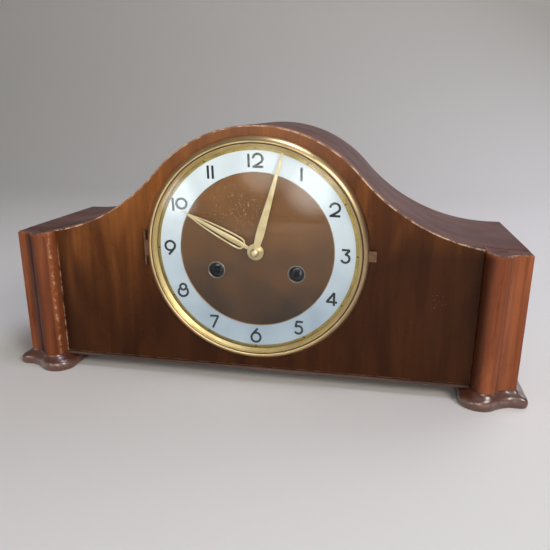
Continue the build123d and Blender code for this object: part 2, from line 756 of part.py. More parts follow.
def make_retainer():
    """Sloped brass ring behind the glass, running in towards the dial's rim."""
    y, outer = GLASS_EDGE_Y + GLASS_T, BEZEL_SEAT - RUN_FIT
    return lathe([(outer - RETAINER_W, y), (outer, y), (outer, y + RETAINER_EDGE),
                  (RETAINER_IN + RETAINER_W, -RETAINER_CLEAR), (RETAINER_IN, -RETAINER_CLEAR)])


def make_catch():
    x0, x1 = BEZEL_R - BEZEL_STRAP_IN, BEZEL_R + CATCH_OUT
    return block(x0, x1, -CATCH_LIFT - CATCH_T, -CATCH_LIFT, -CATCH_LOW, CATCH_HIGH) - bezel_fill()


def make_bezel_leaf():
    half = BEZEL_KNUCKLE_L / 2
    leaf = post(BEZEL_KNUCKLE_R, -half, half, BEZEL_AXIS_X, BEZEL_AXIS_Y)
    y0, y1 = BEZEL_AXIS_Y - BEZEL_STRAP_T / 2, BEZEL_AXIS_Y + BEZEL_STRAP_T / 2
    leaf += block(BEZEL_AXIS_X, -BEZEL_R + BEZEL_STRAP_IN, y0, y1, -half, half)
    leaf -= bezel_fill()
    return leaf - post(BEZEL_PIN_R + RUN_FIT, -half, half, BEZEL_AXIS_X, BEZEL_AXIS_Y)


def make_bezel_hinge_base():
    """Thin leaf under the bezel's edge with an outer knuckle at each end, and the pin."""
    long, short = BEZEL_HINGE_L / 2, BEZEL_KNUCKLE_L / 2 + END_SHAKE
    leaf = block(BEZEL_AXIS_X, -REBATE_R + 1, -BEZEL_LEAF_T, 0, -long, long) - disc(REBATE_R, -1, 0)
    for z0, z1 in ((short, long), (-long, -short)):
        leaf += post(BEZEL_KNUCKLE_R, z0, z1, BEZEL_AXIS_X, BEZEL_AXIS_Y)
        leaf += block(BEZEL_AXIS_X - BEZEL_KNUCKLE_R, BEZEL_AXIS_X, BEZEL_AXIS_Y, 0, z0, z1)
    leaf -= post(BEZEL_PIN_R, -long, long, BEZEL_AXIS_X, BEZEL_AXIS_Y)
    return [leaf, post(BEZEL_PIN_R, -long, long, BEZEL_AXIS_X, BEZEL_AXIS_Y)]


def plate_corners(inset_x):
    """Fixings near the plates' four corners."""
    x, low, high = PLATE_HALF - inset_x, -PLATE_LOW + PILLAR_INSET, PLATE_HIGH - PILLAR_INSET
    return [(x, low), (-x, low), (x, high), (-x, high)]


PIVOT_HOLES = [SECOND, THIRD, ESCAPE, STRIKE_SECOND, PIN, WARNING, FLY, HAMMER]


def drilled_plate(y0, y1, holes):
    sheet = RectangleRounded(2 * PLATE_HALF, PLATE_LOW + PLATE_HIGH, PLATE_CORNER_R)
    face = Pos(0, (PLATE_HIGH - PLATE_LOW) / 2) * sheet
    for at, radius in holes:
        face -= Pos(*at) * Circle(radius)
    return slab(face, y0, y1)


def shared_holes():
    holes = [(at, PIVOT_R + RUN_FIT) for at in PIVOT_HOLES]
    holes += [(at, WIND_ARBOR_R + RUN_FIT) for at in (GOING, STRIKE)]
    return holes + [(at, PILLAR_END_R) for at in plate_corners(PILLAR_INSET)]


def make_front_plate():
    """Front plate with the stud that carries the minute wheel and one for each click."""
    holes = shared_holes() + [(CENTRE, CENTRE_R + RUN_FIT), (ANCHOR, PIVOT_R + RUN_FIT)]
    holes += [(at, SCREW_R) for at in plate_corners(SCREW_INSET)]
    plate = drilled_plate(FRONT, FRONT_IN, holes)
    plate += disc(STUD_R, HOUR_WHEEL_Y - STUD_OVER, FRONT, MINUTE)
    for side in (1, -1):
        plate += disc(STUD_R, RATCHET_Y - STUD_OVER, FRONT, click_pivot(side))
    return plate


def make_back_plate():
    holes = shared_holes() + [(CENTRE, PIVOT_R + RUN_FIT), (ANCHOR, ANCHOR_HOLE_R)]
    holes = [(at, ARBOR_R + RUN_FIT if at in (STRIKE_SECOND, HAMMER) else r) for at, r in holes]
    return drilled_plate(BACK_PLATE, REAR, holes)


def make_pillars():
    """Shouldered pillars, their ends riveted through both plates."""
    return [disc(PILLAR_R, FRONT_IN, BACK_PLATE, at) + disc(PILLAR_END_R, FRONT, REAR, at)
            for at in plate_corners(PILLAR_INSET)]


def make_spacers():
    return [ring(SPACER_R, SCREW_R + RUN_FIT, PANEL_T, FRONT, at) for at in plate_corners(SCREW_INSET)]


def make_screws():
    tip = PANEL_T - SCREW_BITE
    return [disc(SCREW_R, tip, FRONT_IN, at) + disc(SCREW_HEAD_R, FRONT_IN, FRONT_IN + SCREW_HEAD_T, at)
            for at in plate_corners(SCREW_INSET)]


def make_front_panel():
    """Hat-shaped board, rebated in front for the dial's pan and cut through for the movement."""
    panel = slab(hat_face(PANEL_HALF), 0, PANEL_T) - disc(PANEL_HOLE_R, 0, PANEL_T)
    panel -= disc(REBATE_R, 0, REBATE)
    for at in plate_corners(SCREW_INSET):
        panel -= disc(SCREW_R, PANEL_T - SCREW_BITE, PANEL_T, at)
    return panel


def make_barrel(great):
    """Great wheel and drum in one, the drum open behind and closed by a thin cap."""
    at = great[0]
    bore = WIND_ARBOR_R + RUN_FIT
    barrel = slab(gear_face(great), GREAT_Y, DRUM_Y) + ring(DRUM_R, DRUM_R - DRUM_WALL, DRUM_Y, DRUM_END, at)
    barrel += ring(DRUM_R - DRUM_WALL, bore, DRUM_END - DRUM_WALL, DRUM_END, at)
    return barrel - disc(bore, GREAT_Y, DRUM_Y, at)


def make_mainspring(at, hand):
    """Flat steel strip wound in a spiral from the arbor out to the drum."""
    steps, step = SPRING_STEPS * SPRING_TURNS, 360 / SPRING_STEPS
    outer = DRUM_R - DRUM_WALL - SPRING_CLEAR - SPRING_T
    radii = [SPRING_IN + (outer - SPRING_IN) * k / steps for k in range(steps + 1)]
    inside = [polar(at, r, hand * step * k) for k, r in enumerate(radii)]
    outside = [polar(at, r + SPRING_T, hand * step * k) for k, r in enumerate(radii)]
    return slab(outline(inside + outside[::-1]), DRUM_Y + SPRING_SIDE, DRUM_END - DRUM_WALL - SPRING_SIDE)


def make_winding_arbor(at):
    """Round arbor with a hub inside the barrel and a square front end for the key."""
    front = DIAL_FACE + WIND_END
    shaft = disc(WIND_ARBOR_R, RATCHET_Y + RATCHET_T, REAR, at)
    hub = SPRING_IN - SPRING_CLEAR
    shaft += disc(hub, DRUM_Y + SPRING_SIDE, DRUM_END - DRUM_WALL - SPRING_SIDE, at)
    square = Pos(*at) * Rectangle(WIND_SQUARE, WIND_SQUARE)
    return shaft + slab(square, front, RATCHET_Y + RATCHET_T)


def make_ratchet():
    """Going side's saw-toothed wheel on its arbor's square."""
    points = []
    for tooth in range(RATCHET_TEETH):
        angle = 360 * tooth / RATCHET_TEETH
        points += [polar(GOING, RATCHET_R, angle), polar(GOING, RATCHET_R - RATCHET_DEPTH, angle)]
    square = Pos(*GOING) * Rectangle(WIND_SQUARE, WIND_SQUARE)
    return slab(outline(points) - square, RATCHET_Y, RATCHET_Y + RATCHET_T)


def click_pivot(side):
    at = (side * WIND_X, -WIND_DROP)
    angle = 90 - side * (CLICK_SIDE - 90)
    return polar(at, math.hypot(RATCHET_R + CLICK_GAP, CLICK_REACH), angle)


def make_click():
    """Going side's lever on its stud, its nose resting clear of the ratchet's tips."""
    at = GOING
    pivot = click_pivot(1)
    line = heading(pivot, at)
    swing = math.degrees(math.atan2(RATCHET_R + CLICK_GAP, CLICK_REACH))
    nose = polar(pivot, CLICK_REACH, line + swing)
    away = heading(at, nose)
    face = outline([polar(pivot, CLICK_WAIST, line + swing - 90), nose,
                    polar(nose, CLICK_NOSE, away), polar(pivot, CLICK_WAIST, line + swing + 90)])
    face += Pos(*pivot) * Circle(CLICK_R)
    face -= Pos(*at) * Circle(RATCHET_R + CLICK_GAP)
    face -= Pos(*pivot) * Circle(STUD_R + RUN_FIT)
    return slab(face, RATCHET_Y, RATCHET_Y + RATCHET_T)


def make_second_wheel():
    leaves = slab(gear_face(GOING_SECOND_PINION), GREAT_Y - LEAF_OVER, DRUM_Y + LEAF_OVER)
    return arbor(SECOND, ARBOR_R) + leaves + crossed_wheel(SECOND_WHEEL, SECOND_Y, SECOND_HUB)


def make_centre_wheel():
    """Centre arbor, carried on through the front plate to take the cannon pinion and hands."""
    y1 = BACK_PLATE - END_SHAKE
    shaft = disc(CENTRE_R, NUT_Y + NUT_CAP + END_SHAKE, y1) + disc(PIVOT_R, y1, REAR)
    return shaft + pinion(CENTRE_DRIVEN, SECOND_Y) + crossed_wheel(CENTRE_WHEEL, CENTRE_Y, CENTRE_HUB)


def make_third_wheel():
    shaft = arbor(THIRD, FINE_ARBOR_R) + pinion(THIRD_DRIVEN, CENTRE_Y)
    return shaft + crossed_wheel(THIRD_WHEEL, THIRD_Y, THIRD_HUB)


def make_escape_wheel():
    """Escape wheel with fine raked teeth."""
    pitch = 360 / ESCAPE_TEETH
    points = []
    for tooth in range(ESCAPE_TEETH):
        middle = tooth * pitch
        root = ESCAPE_R - ESCAPE_DEPTH
        points += [polar(ESCAPE, root, middle - ESCAPE_RAKE * pitch), polar(ESCAPE, ESCAPE_R, middle),
                   polar(ESCAPE, ESCAPE_R, middle + ESCAPE_TIP * pitch),
                   polar(ESCAPE, root, middle + ESCAPE_HEEL * pitch)]
    wheel = slab(outline(points), ESCAPE_Y, ESCAPE_Y + WHEEL_T)
    return arbor(ESCAPE, FINE_ARBOR_R) + pinion(ESCAPE_DRIVEN, THIRD_Y) + wheel


def make_strike_second():
    """Strike second wheel, its arbor carried through the back plate to the count wheel."""
    y0 = FRONT_IN + END_SHAKE
    shaft = disc(PIVOT_R, FRONT, y0, STRIKE_SECOND) + disc(ARBOR_R, y0, REAR + COUNT_STUB, STRIKE_SECOND)
    shaft += slab(gear_face(STRIKE_SECOND_PINION), GREAT_Y - LEAF_OVER, DRUM_Y + LEAF_OVER)
    return shaft + crossed_wheel(STRIKE_WHEEL, STRIKE_SECOND_Y, SECOND_HUB)


def make_count_wheel():
    """Disc with a notch after each hour's blows; each notch leaves room for the half-hour's one."""
    blows = sum(range(1, 13)) + 12
    step = 360 / blows
    y0, y1 = REAR + COUNT_GAP, REAR + COUNT_GAP + COUNT_T
    wheel = ring(COUNT_R, ARBOR_R, y0, y1, STRIKE_SECOND)
    done = 0
    for hour in range(1, 13):
        done += hour
        low, high = done * step, (done + 1) * step
        root, out = COUNT_R - COUNT_DEPTH, COUNT_R + 1
        notch = outline([polar(STRIKE_SECOND, root, low), polar(STRIKE_SECOND, out, low),
                         polar(STRIKE_SECOND, out, high), polar(STRIKE_SECOND, root, high)])
        wheel -= slab(notch, y0, y1)
        done += 1
    return wheel


def make_pin_wheel():
    wheel = arbor(PIN, ARBOR_R) + pinion(PIN_DRIVEN, STRIKE_SECOND_Y)
    wheel += slab(gear_face(PIN_WHEEL), PIN_Y, PIN_Y + WHEEL_T)
    for pin in range(PIN_COUNT):
        at = polar(PIN, PIN_CIRCLE, pin * 360 / PIN_COUNT)
        wheel += disc(PIN_R, PIN_Y + WHEEL_T / 2, PIN_Y + WHEEL_T + PIN_L, at)
    return wheel


def make_warning_wheel():
    wheel = arbor(WARNING, FINE_ARBOR_R) + pinion(WARNING_DRIVEN, PIN_Y)
    return wheel + crossed_wheel(WARNING_WHEEL, WARNING_Y, WARNING_HUB)


def make_fly():
    """Air brake: a thin two-winged vane on the fastest arbor."""
    x, z = FLY
    y = FRONT_IN + FLY_GAP
    vane = block(x - FLY_R, x + FLY_R, y, y + FLY_L, z - FLY_T / 2, z + FLY_T / 2)
    return arbor(FLY, FINE_ARBOR_R) + pinion(FLY_DRIVEN, WARNING_Y) + vane


def make_cannon():
    y1 = MINUTE_WHEEL_Y + WHEEL_T + MOTION_OVER
    leaves = slab(gear_face(CANNON_GEAR), MINUTE_WHEEL_Y - MOTION_OVER, y1)
    return leaves + disc(CANNON_PIPE_R, MINUTE_HAND_Y, y1) - disc(CENTRE_R + RUN_FIT, MINUTE_HAND_Y, y1)


def make_minute_wheel():
    wheel = crossed_wheel(MINUTE_GEAR, MINUTE_WHEEL_Y, MINUTE_HUB)
    front, back = HOUR_WHEEL_Y - MOTION_OVER, MINUTE_WHEEL_Y + WHEEL_T
    wheel += slab(gear_face(MINUTE_LEAVES), front, MINUTE_WHEEL_Y)
    return wheel - disc(STUD_R + RUN_FIT, front, back, MINUTE)


def make_hour_wheel():
    wheel = crossed_wheel(HOUR_GEAR, HOUR_WHEEL_Y, HOUR_HUB)
    wheel += disc(HOUR_PIPE_R, HOUR_HAND_Y, HOUR_WHEEL_Y)
    return wheel - disc(CANNON_PIPE_R + RUN_FIT, HOUR_HAND_Y, HOUR_WHEEL_Y + WHEEL_T)


def hand_place(angle):
    """Turns a hand drawn upright to its place on the dial, clockwise from twelve."""
    return Rot(0, 0, -angle)


def blade(edge):
    """Hand drawn upright from the shape of its one edge."""
    return outline([(-x, along) for x, along in edge] + edge[::-1])


def make_hour_hand():
    """Leaf-shaped hand with a slot each side of a middle rib, on a round boss."""
    leaf = blade(HOUR_LEAF)
    for side in (1, -1):
        leaf -= outline([(side * x, along) for x, along in HOUR_SLOT])
    hand = slab(hand_place(HOUR_AT) * leaf, HOUR_HAND_Y, HOUR_HAND_Y + HAND_T)
    hand += disc(HOUR_BOSS_R, HOUR_HAND_Y, HOUR_HAND_Y + HOUR_BOSS_T)
    return hand - disc(HOUR_PIPE_R, HOUR_HAND_Y, HOUR_HAND_Y + HOUR_BOSS_T)


def make_minute_hand():
    """Lance-shaped hand, widest near its boss."""
    lance = hand_place(MINUTE_AT) * blade(MINUTE_LANCE)
    hand = slab(lance, MINUTE_HAND_Y, MINUTE_HAND_Y + HAND_T)
    hand += disc(MINUTE_BOSS_R, MINUTE_HAND_Y, MINUTE_HAND_Y + HAND_T)
    return hand - disc(CANNON_PIPE_R, MINUTE_HAND_Y, MINUTE_HAND_Y + HAND_T)


def make_hand_nut():
    """Domed nut that holds the minute hand on."""
    y = MINUTE_HAND_Y
    bore, cap = CENTRE_R + RUN_FIT, NUT_Y + NUT_CAP
    dome = [(NUT_R * wide, y - NUT_H * high) for wide, high in NUT_DOME]
    return lathe([(bore, y), (NUT_R, y)] + dome + [(0, NUT_Y), (0, cap), (bore, cap)])


# Pendulum and its cock, behind the back plate
COCK_Y = REAR + COCK_STAND
ROD_Y = COCK_Y + COCK_T + ROD_BACK
CRUTCH_Y = REAR + CRUTCH_GAP


def make_cock():
    """Bridge screwed to the back plate: it takes the anchor's rear pivot and clamps the suspension."""
    x, z = COCK_HALF, ANCHOR[1]
    low, high = z - COCK_LOW, z + COCK_HIGH
    bridge = block(-x, x, COCK_Y, COCK_Y + COCK_T, low, high)
    bridge -= disc(PIVOT_R + RUN_FIT, COCK_Y, COCK_Y + COCK_T, ANCHOR)
    for side in both_sides(block(x - COCK_LEG, x, REAR, COCK_Y, low, high)):
        bridge += side
    y1 = ROD_Y + SUSPENSION_W / 2
    clamp = block(-CLAMP_HALF, CLAMP_HALF, COCK_Y + COCK_T, y1, high - CLAMP_H, high)
    half = SUSPENSION_T / 2
    return bridge + clamp - block(-half, half, ROD_Y - SUSPENSION_W / 2, y1, z, z + SUSPENSION_UP)


def make_suspension():
    half, z = SUSPENSION_T / 2, ANCHOR[1]
    return block(-half, half, ROD_Y - SUSPENSION_W / 2, ROD_Y + SUSPENSION_W / 2, z - SUSPENSION_DOWN,
                 z + SUSPENSION_UP)


def make_anchor():
    """Pallet arms round the escape wheel, arbor, and a crutch whose fork takes the rod."""
    z = ANCHOR[1]
    y0 = FRONT_IN + END_SHAKE
    shaft = disc(PIVOT_R, FRONT, y0, ANCHOR) + disc(FINE_ARBOR_R, y0, COCK_Y - END_SHAKE, ANCHOR)
    shaft += disc(PIVOT_R, COCK_Y - END_SHAKE, COCK_Y + COCK_T, ANCHOR)
    inner = ESCAPE_R + PALLET_GAP
    outer, low = inner + PALLET_W, ESCAPE[1] + PALLET_LOW
    right = [(x, z + up) for x, up in ARM_EDGE] + [(outer, low), (inner, low)]
    right += [(x, z + up) for x, up in ARM_HOLLOW]
    left = [(-x, height) for x, height in right[-2::-1]]
    anchor = shaft + slab(outline(right + left), ESCAPE_Y - PALLET_OVER, ESCAPE_Y + WHEEL_T + PALLET_OVER)
    half, y1, foot = CRUTCH_W / 2, CRUTCH_Y + CRUTCH_T, z - CRUTCH_L
    anchor += block(-half, half, CRUTCH_Y, y1, foot, z + CRUTCH_TOP)
    x0 = ROD_R + FORK_GAP
    x1 = x0 + PRONG_W
    for prong in both_sides(block(x0, x1, CRUTCH_Y, ROD_Y + PRONG_OVER, foot, foot + PRONG_H)):
        anchor += prong
    return anchor + block(-x1, x1, CRUTCH_Y, y1, foot, foot + PRONG_H)


BOB_Z = ANCHOR[1] - PENDULUM_L
ROD_END = BOB_Z - BOB_R - RATING_L - ROD_TAIL


def make_pendulum_rod():
    """Rod whose slotted head hangs on the suspension spring."""
    top, low = ANCHOR[1] - ROD_HEAD_TOP, ANCHOR[1] - ROD_HEAD_LOW
    y0, y1 = ROD_Y - ROD_HEAD_T / 2, ROD_Y + ROD_HEAD_T / 2
    half, slot = ROD_HEAD_W / 2, SUSPENSION_T / 2 + ROD_SLOT_ROOM
    head = block(-half, half, y0, y1, low, top)
    head -= block(-slot, slot, y0, y1, ANCHOR[1] - SUSPENSION_DOWN - END_SHAKE, top)
    return head + post(ROD_R, ROD_END, low, 0, ROD_Y)


def make_bob():
    """Lens-shaped brass bob that slides on the rod."""
    edge, half = BOB_EDGE / 2, BOB_T / 2
    x, y = BOB_BOW
    face = make_face([
        Line((0, -half), (0, half)),
        ThreePointArc((0, half), (x, y), (BOB_R, edge)),
        Line((BOB_R, edge), (BOB_R, -edge)),
        ThreePointArc((BOB_R, -edge), (x, -y), (0, -half)),
    ])
    bob = Pos(0, ROD_Y, BOB_Z) * revolve(face, Axis.Y)
    return bob - post(ROD_R + RUN_FIT, BOB_Z - 2 * BOB_R, BOB_Z + 2 * BOB_R, 0, ROD_Y)


def make_rating_nut():
    top = BOB_Z - BOB_R - RATING_GAP
    nut = post(RATING_R, top - RATING_L, top, 0, ROD_Y)
    return nut - post(ROD_R + RUN_FIT, top - RATING_L, top, 0, ROD_Y)


# Gong: two rods struck at once, side by side
HEAD_AT = (HAMMER[0] - HAMMER_OUT, HAMMER[1] - HAMMER_DOWN)
GONG_Z = HEAD_AT[1] - HAMMER_HEAD_L / 2 - GONG_STRIKE_GAP - ROD_GONG_R


def gong_depths():
    return [ROD_GONG_Y, ROD_GONG_Y + ROD_GONG_PITCH]


def make_gong_block():
    x0, x1 = -GONG_BLOCK_X, -GONG_BLOCK_X + GONG_BLOCK_L
    y0, y1 = ROD_GONG_Y - GONG_BLOCK_SIDE, ROD_GONG_Y + ROD_GONG_PITCH + GONG_BLOCK_SIDE
    solid = block(x0, x1, y0, y1, BASE_TOP, GONG_Z + GONG_BLOCK_UP)
    solid = chamfer(solid.edges().group_by(Axis.Z)[-1], GONG_BLOCK_BEVEL)
    for y in gong_depths():
        solid -= rod_bar(y, x1 - GONG_BLOCK_L / 2, x1)
    return solid


def rod_bar(y, x0, x1):
    return Pos((x0 + x1) / 2, y, GONG_Z) * Rot(0, 90, 0) * Cylinder(ROD_GONG_R, x1 - x0)


def make_gong_rods():
    x0 = -GONG_BLOCK_X + GONG_BLOCK_L / 2
    return [rod_bar(y, x0, x0 + ROD_GONG_L) for y in gong_depths()]


def lever(a, b, half_a, half_b):
    """Flat bar from a to b, tapering between the half widths at its ends."""
    line = heading(a, b)
    return outline([polar(a, half_a, line + 90), polar(b, half_b, line + 90),
                    polar(b, half_b, line - 90), polar(a, half_a, line - 90)])


def make_hammers():
    """Arbor with a tail by the pin wheel, and two bent arms whose heads hang over the rods."""
    y0 = FRONT_IN + END_SHAKE
    arm_y = REAR + HAMMER_ARM_GAP
    arm_end = arm_y + HAMMER_ARM_T
    shaft = disc(PIVOT_R, FRONT, y0, HAMMER) + disc(ARBOR_R, y0, arm_end, HAMMER)
    length = math.dist(HAMMER, PIN) - PIN_CIRCLE - PIN_R - TAIL_CLEAR
    tail = lever(HAMMER, polar(HAMMER, length, heading(HAMMER, PIN)), TAIL_HUB, TAIL_TIP)
    tail += Pos(*HAMMER) * Circle(TAIL_HUB)
    shaft += slab(tail, PIN_Y + WHEEL_T + TAIL_SIDE, PIN_Y + WHEEL_T + PIN_L)
    half = HAMMER_ARM_W / 2
    arm = lever(HAMMER, HEAD_AT, half, half) + Pos(*HAMMER) * Circle(HAMMER_HUB)
    shaft += slab(arm, arm_y, arm_end)
    shaft += disc(half, arm_y, gong_depths()[-1], HEAD_AT)
    for y in gong_depths():
        head_low, head_high = HEAD_AT[1] - HAMMER_HEAD_L / 2, HEAD_AT[1] + HAMMER_HEAD_L / 2
        shaft += post(HAMMER_HEAD_R, head_low, head_high, HEAD_AT[0], y)
    return shaft


def build():
    base = make_base()
    column, foot, end = make_column(), make_front_foot(base), make_end()
    right_column, left_column = both_sides(column)
    right_foot, left_foot = both_sides(foot)
    going_ratchet, strike_ratchet = both_sides(make_ratchet())
    going_click, strike_click = both_sides(make_click())
    return {
        "front_panel": [make_front_panel()], "roof_panel": [make_roof()], "base_board": [base],
        "end_panels": both_sides(end), "back_panel": [make_back_panel()],
        "right_column": [right_column], "left_column": [left_column],
        "right_front_foot": [right_foot], "left_front_foot": [left_foot],
        "rear_feet": both_sides(make_rear_foot()),
        "back_door": [make_door()], "door_knob": [make_knob()],
        "door_hinge_leaves": make_door_leaves(False), "door_hinge_bases": make_door_leaves(True),
        "dial_plate": [make_dial_plate()], "chapter_ring": [make_chapter_ring()],
        "centre_disc": [make_centre_disc()], "winding_grommets": make_grommets(),
        "bezel_ring": [make_bezel_ring()], "bezel_glass": [make_glass()],
        "glass_retainer": [make_retainer()], "bezel_catch": [make_catch()],
        "bezel_hinge_leaf": [make_bezel_leaf()], "bezel_hinge_base": make_bezel_hinge_base(),
        "front_plate": [make_front_plate()], "back_plate": [make_back_plate()],
        "plate_pillars": make_pillars(), "movement_spacers": make_spacers(),
        "movement_screws": make_screws(),
        "going_barrel": [make_barrel(GOING_GREAT)], "strike_barrel": [make_barrel(STRIKE_GREAT)],
        "going_mainspring": [make_mainspring(GOING, 1)],
        "strike_mainspring": [make_mainspring(STRIKE, -1)],
        "going_winding_arbor": [make_winding_arbor(GOING)],
        "strike_winding_arbor": [make_winding_arbor(STRIKE)],
        "going_ratchet": [going_ratchet], "strike_ratchet": [strike_ratchet],
        "going_click": [going_click], "strike_click": [strike_click],
        "second_wheel": [make_second_wheel()], "centre_wheel": [make_centre_wheel()],
        "third_wheel": [make_third_wheel()], "escape_wheel": [make_escape_wheel()],
        "strike_second_wheel": [make_strike_second()], "count_wheel": [make_count_wheel()],
        "pin_wheel": [make_pin_wheel()], "warning_wheel": [make_warning_wheel()], "fly": [make_fly()],
        "cannon_pinion": [make_cannon()], "minute_wheel": [make_minute_wheel()],
        "hour_wheel": [make_hour_wheel()], "hour_hand": [make_hour_hand()],
        "minute_hand": [make_minute_hand()], "hand_nut": [make_hand_nut()],
        "pendulum_cock": [make_cock()], "suspension_spring": [make_suspension()],
        "pallet_anchor": [make_anchor()], "pendulum": [make_pendulum_rod(), make_bob(), make_rating_nut()],
        "hammers": [make_hammers()], "gong": [make_gong_block()] + make_gong_rods(),
    }


def main():
    """Sets the clock on the floor, centred, and writes one file for each piece."""
    pieces = build()
    box = Compound(children=[Compound(solids) for solids in pieces.values()]).bounding_box()
    ground = Pos(-(box.min.X + box.max.X) / 2, -(box.min.Y + box.max.Y) / 2, -box.min.Z)
    os.makedirs("parts", exist_ok=True)
    for name, solids in pieces.items():
        placed = [ground * solid for shape in solids for solid in shape.solids()]
        export_step(placed[0] if len(placed) == 1 else Compound(placed), f"parts/{name}.step")
    print("origin moved by", [round(value, 4) for value in ground.position])


main()
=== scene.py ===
"""Mantel clock with a hat-shaped walnut case: the looks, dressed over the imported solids."""
import json
import math

import bpy
import numpy as np
from mathutils import Matrix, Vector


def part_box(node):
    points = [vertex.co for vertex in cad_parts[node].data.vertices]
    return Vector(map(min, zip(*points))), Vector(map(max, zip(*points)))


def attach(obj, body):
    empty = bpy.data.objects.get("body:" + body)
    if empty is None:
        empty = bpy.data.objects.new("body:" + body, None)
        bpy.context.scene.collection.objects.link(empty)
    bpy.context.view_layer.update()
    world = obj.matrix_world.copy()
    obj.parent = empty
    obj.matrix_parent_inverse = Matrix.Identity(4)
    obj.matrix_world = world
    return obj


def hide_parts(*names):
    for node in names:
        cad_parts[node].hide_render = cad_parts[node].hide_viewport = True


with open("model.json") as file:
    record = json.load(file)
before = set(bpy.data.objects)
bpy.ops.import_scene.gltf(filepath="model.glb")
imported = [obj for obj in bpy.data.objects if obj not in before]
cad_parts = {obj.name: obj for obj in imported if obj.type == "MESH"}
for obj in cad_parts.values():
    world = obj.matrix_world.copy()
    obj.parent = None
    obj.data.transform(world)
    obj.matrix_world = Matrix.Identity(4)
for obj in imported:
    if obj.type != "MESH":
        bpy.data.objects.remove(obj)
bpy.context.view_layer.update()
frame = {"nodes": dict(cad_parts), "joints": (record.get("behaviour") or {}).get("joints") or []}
nodes = frame["nodes"]
joints = {joint["name"]: joint for joint in frame["joints"]}

# Pieces are worked out in millimetres from the dial's centre: x to the right, y back from the front
# panel's face, z up. ORIGIN is that point in the shared frame, in metres.
MM = 0.001
ORIGIN = np.array([joints["minute_hand_turn"]["pos_m"][0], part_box("front_panel")[0].y,
                   joints["minute_hand_turn"]["pos_m"][2]])

# Case
PANEL_HALF, PANEL_T, PANEL_DROP, PANEL_HOLE_R = 174.6, 9.0, 100.4, 56.0
REBATE_R, REBATE = 88.6, 4.0
CREST_H, CREST_R, COVE_R, SHOULDER_H = 98.5, 109.3, 160.5, 8.4
CASE_DEPTH, CASE_HALF, ROOF_T = 130.8, 208.5, 5.0
EDGE_R, RUB_W, LEFT_RUB = 0.9, 0.5, 2.4
SIDE_RUB, FOOT_RUB, RIGHT_RUB = ([-90, -20, 8], [0.8, 0.6, 0.1]), 0.15, 0.05
CREST_Z = CREST_H - CREST_R
COVE_Z = SHOULDER_H + COVE_R
COVE_X = math.sqrt((CREST_R + COVE_R) ** 2 - (COVE_Z - CREST_Z) ** 2)
TURN_X = COVE_X * CREST_R / (CREST_R + COVE_R)

# Corner columns and moulded feet
COLUMN_W, COLUMN_BACK, COLUMN_EDGE_R = 34.9, 14.0, 3.0
BULGE_AT, BULGE_PROUD, BULGE_W, KNEE_PROUD = 9.7, 13.3, 18.1, 7.9
COVE_MID, COVE_MID_PROUD, COVE_W, COVE_PROUD = 21.8, 4.6, 27.0, 2.1
FOOT_H, FOOT_BACK = 13.1, 42.0
FLARE_IN, FLARE_OUT, FLARE_FRONT, FLARE_INNER_SHARE = 9.6, 9.0, 5.0, 0.6
FOOT_UP = [0.0, 0.06, 0.16, 0.30, 0.44, 0.56, 0.66, 0.76, 0.88, 1.0]
FOOT_FLARE = [0.86, 0.95, 0.99, 1.0, 0.97, 0.88, 0.72, 0.45, 0.18, 0.06]
CAP_T, CAP_FLAT, TOP_RUB = 0.5, 1.0, 0.6
CAP_EDGE = [(0.0, CAP_T, 0.0), (0.0, CAP_T / 2, TOP_RUB), (0.2, 0.1, TOP_RUB), (0.5, 0.0, TOP_RUB),
            (CAP_FLAT, 0.0, 0.0)]
CHIP_AT, CHIP_W, CHIP_WEAR = 1.3, 1.1, 1.0
# Bands of painted shade across the columns' fronts: place across, width and strength, for each hand
SHADE_BANDS = {1: [(1.0, 4.5, 0.8)], -1: [(19.0, 7.0, 1.0), (2.6, 2.6, 0.5)]}
# Pale band round the feet's lips: rubbing, and also a painted highlight
LIP_RUB_AND_SHEEN, LIP_RUB_AND_SHEEN_UP, LIP_RUB_AND_SHEEN_W = 0.3, 0.45, 0.12

# The panel's painted shade, highlight and sheen, in millimetres of the shared frame: places across, heights,
# or reaches from a spot
SHADE_MIDDLE, END_SHADE_X, END_SHADE = -55.0, np.array([80.0, 170.0]), 0.9
FOOT_SHADE_Z, FOOT_SHADE = np.array([185.0, 15.0]), 0.85
SPOT_X, SPOT_Z, SPOT_REACH, SPOT_SHADE = -10.0, 12.0, np.array([140.0, 30.0]), 0.5
RIGHT_SHADE_X, RIGHT_SHADE, DEEPEST_SHADE = np.array([20.0, 120.0]), 0.40, 0.88
# A painted highlight, a warm glow left of the dial, and a painted sheen along the crest
PAINTED_GLOW_X, PAINTED_GLOW_Z, PAINTED_GLOW_REACH, PAINTED_GLOW, PAINTED_GLOW_TONE = -105.0, 162.0, np.array([50.0, 8.0]), 0.3, "#a8672f"
CREST_SHEEN_Z, CREST_SHEEN, CREST_SHEEN_TONE = np.array([165.0, 210.0]), 0.55, "#996a4c"

# Pores and worn marks of the finishes, and painted shade on the bezel
PORE_W, PORE_L, PORE_TONE = 0.6, 10.0, "#180c06"
CHIP_PATCH, SMEAR_W = 4.5, 38.0
SCUFF_AT, SCUFF_REACH, SCUFF_GRAIN, SCUFF_SHOWS = (144.0, -32.0), 9.0, 1.6, 0.22
FLAKES_AT, FLAKES_REACH, FLAKE_W, FLAKES_SHOW = (-15.0, 36.0), 30.0, 1.3, 0.45
# Painted shade on the bezel: browner towards its right, and near-black in its groove
BEZEL_SHADE_X, BEZEL_SHADE, BEZEL_SHADE_TONE = np.array([40.0, 88.0]), 0.8, "#9c8068"
GROOVE_SHADE_W, GROOVE_SHADE, GROOVE_SHADE_TONE = 0.7, 0.9, "#2a1c10"

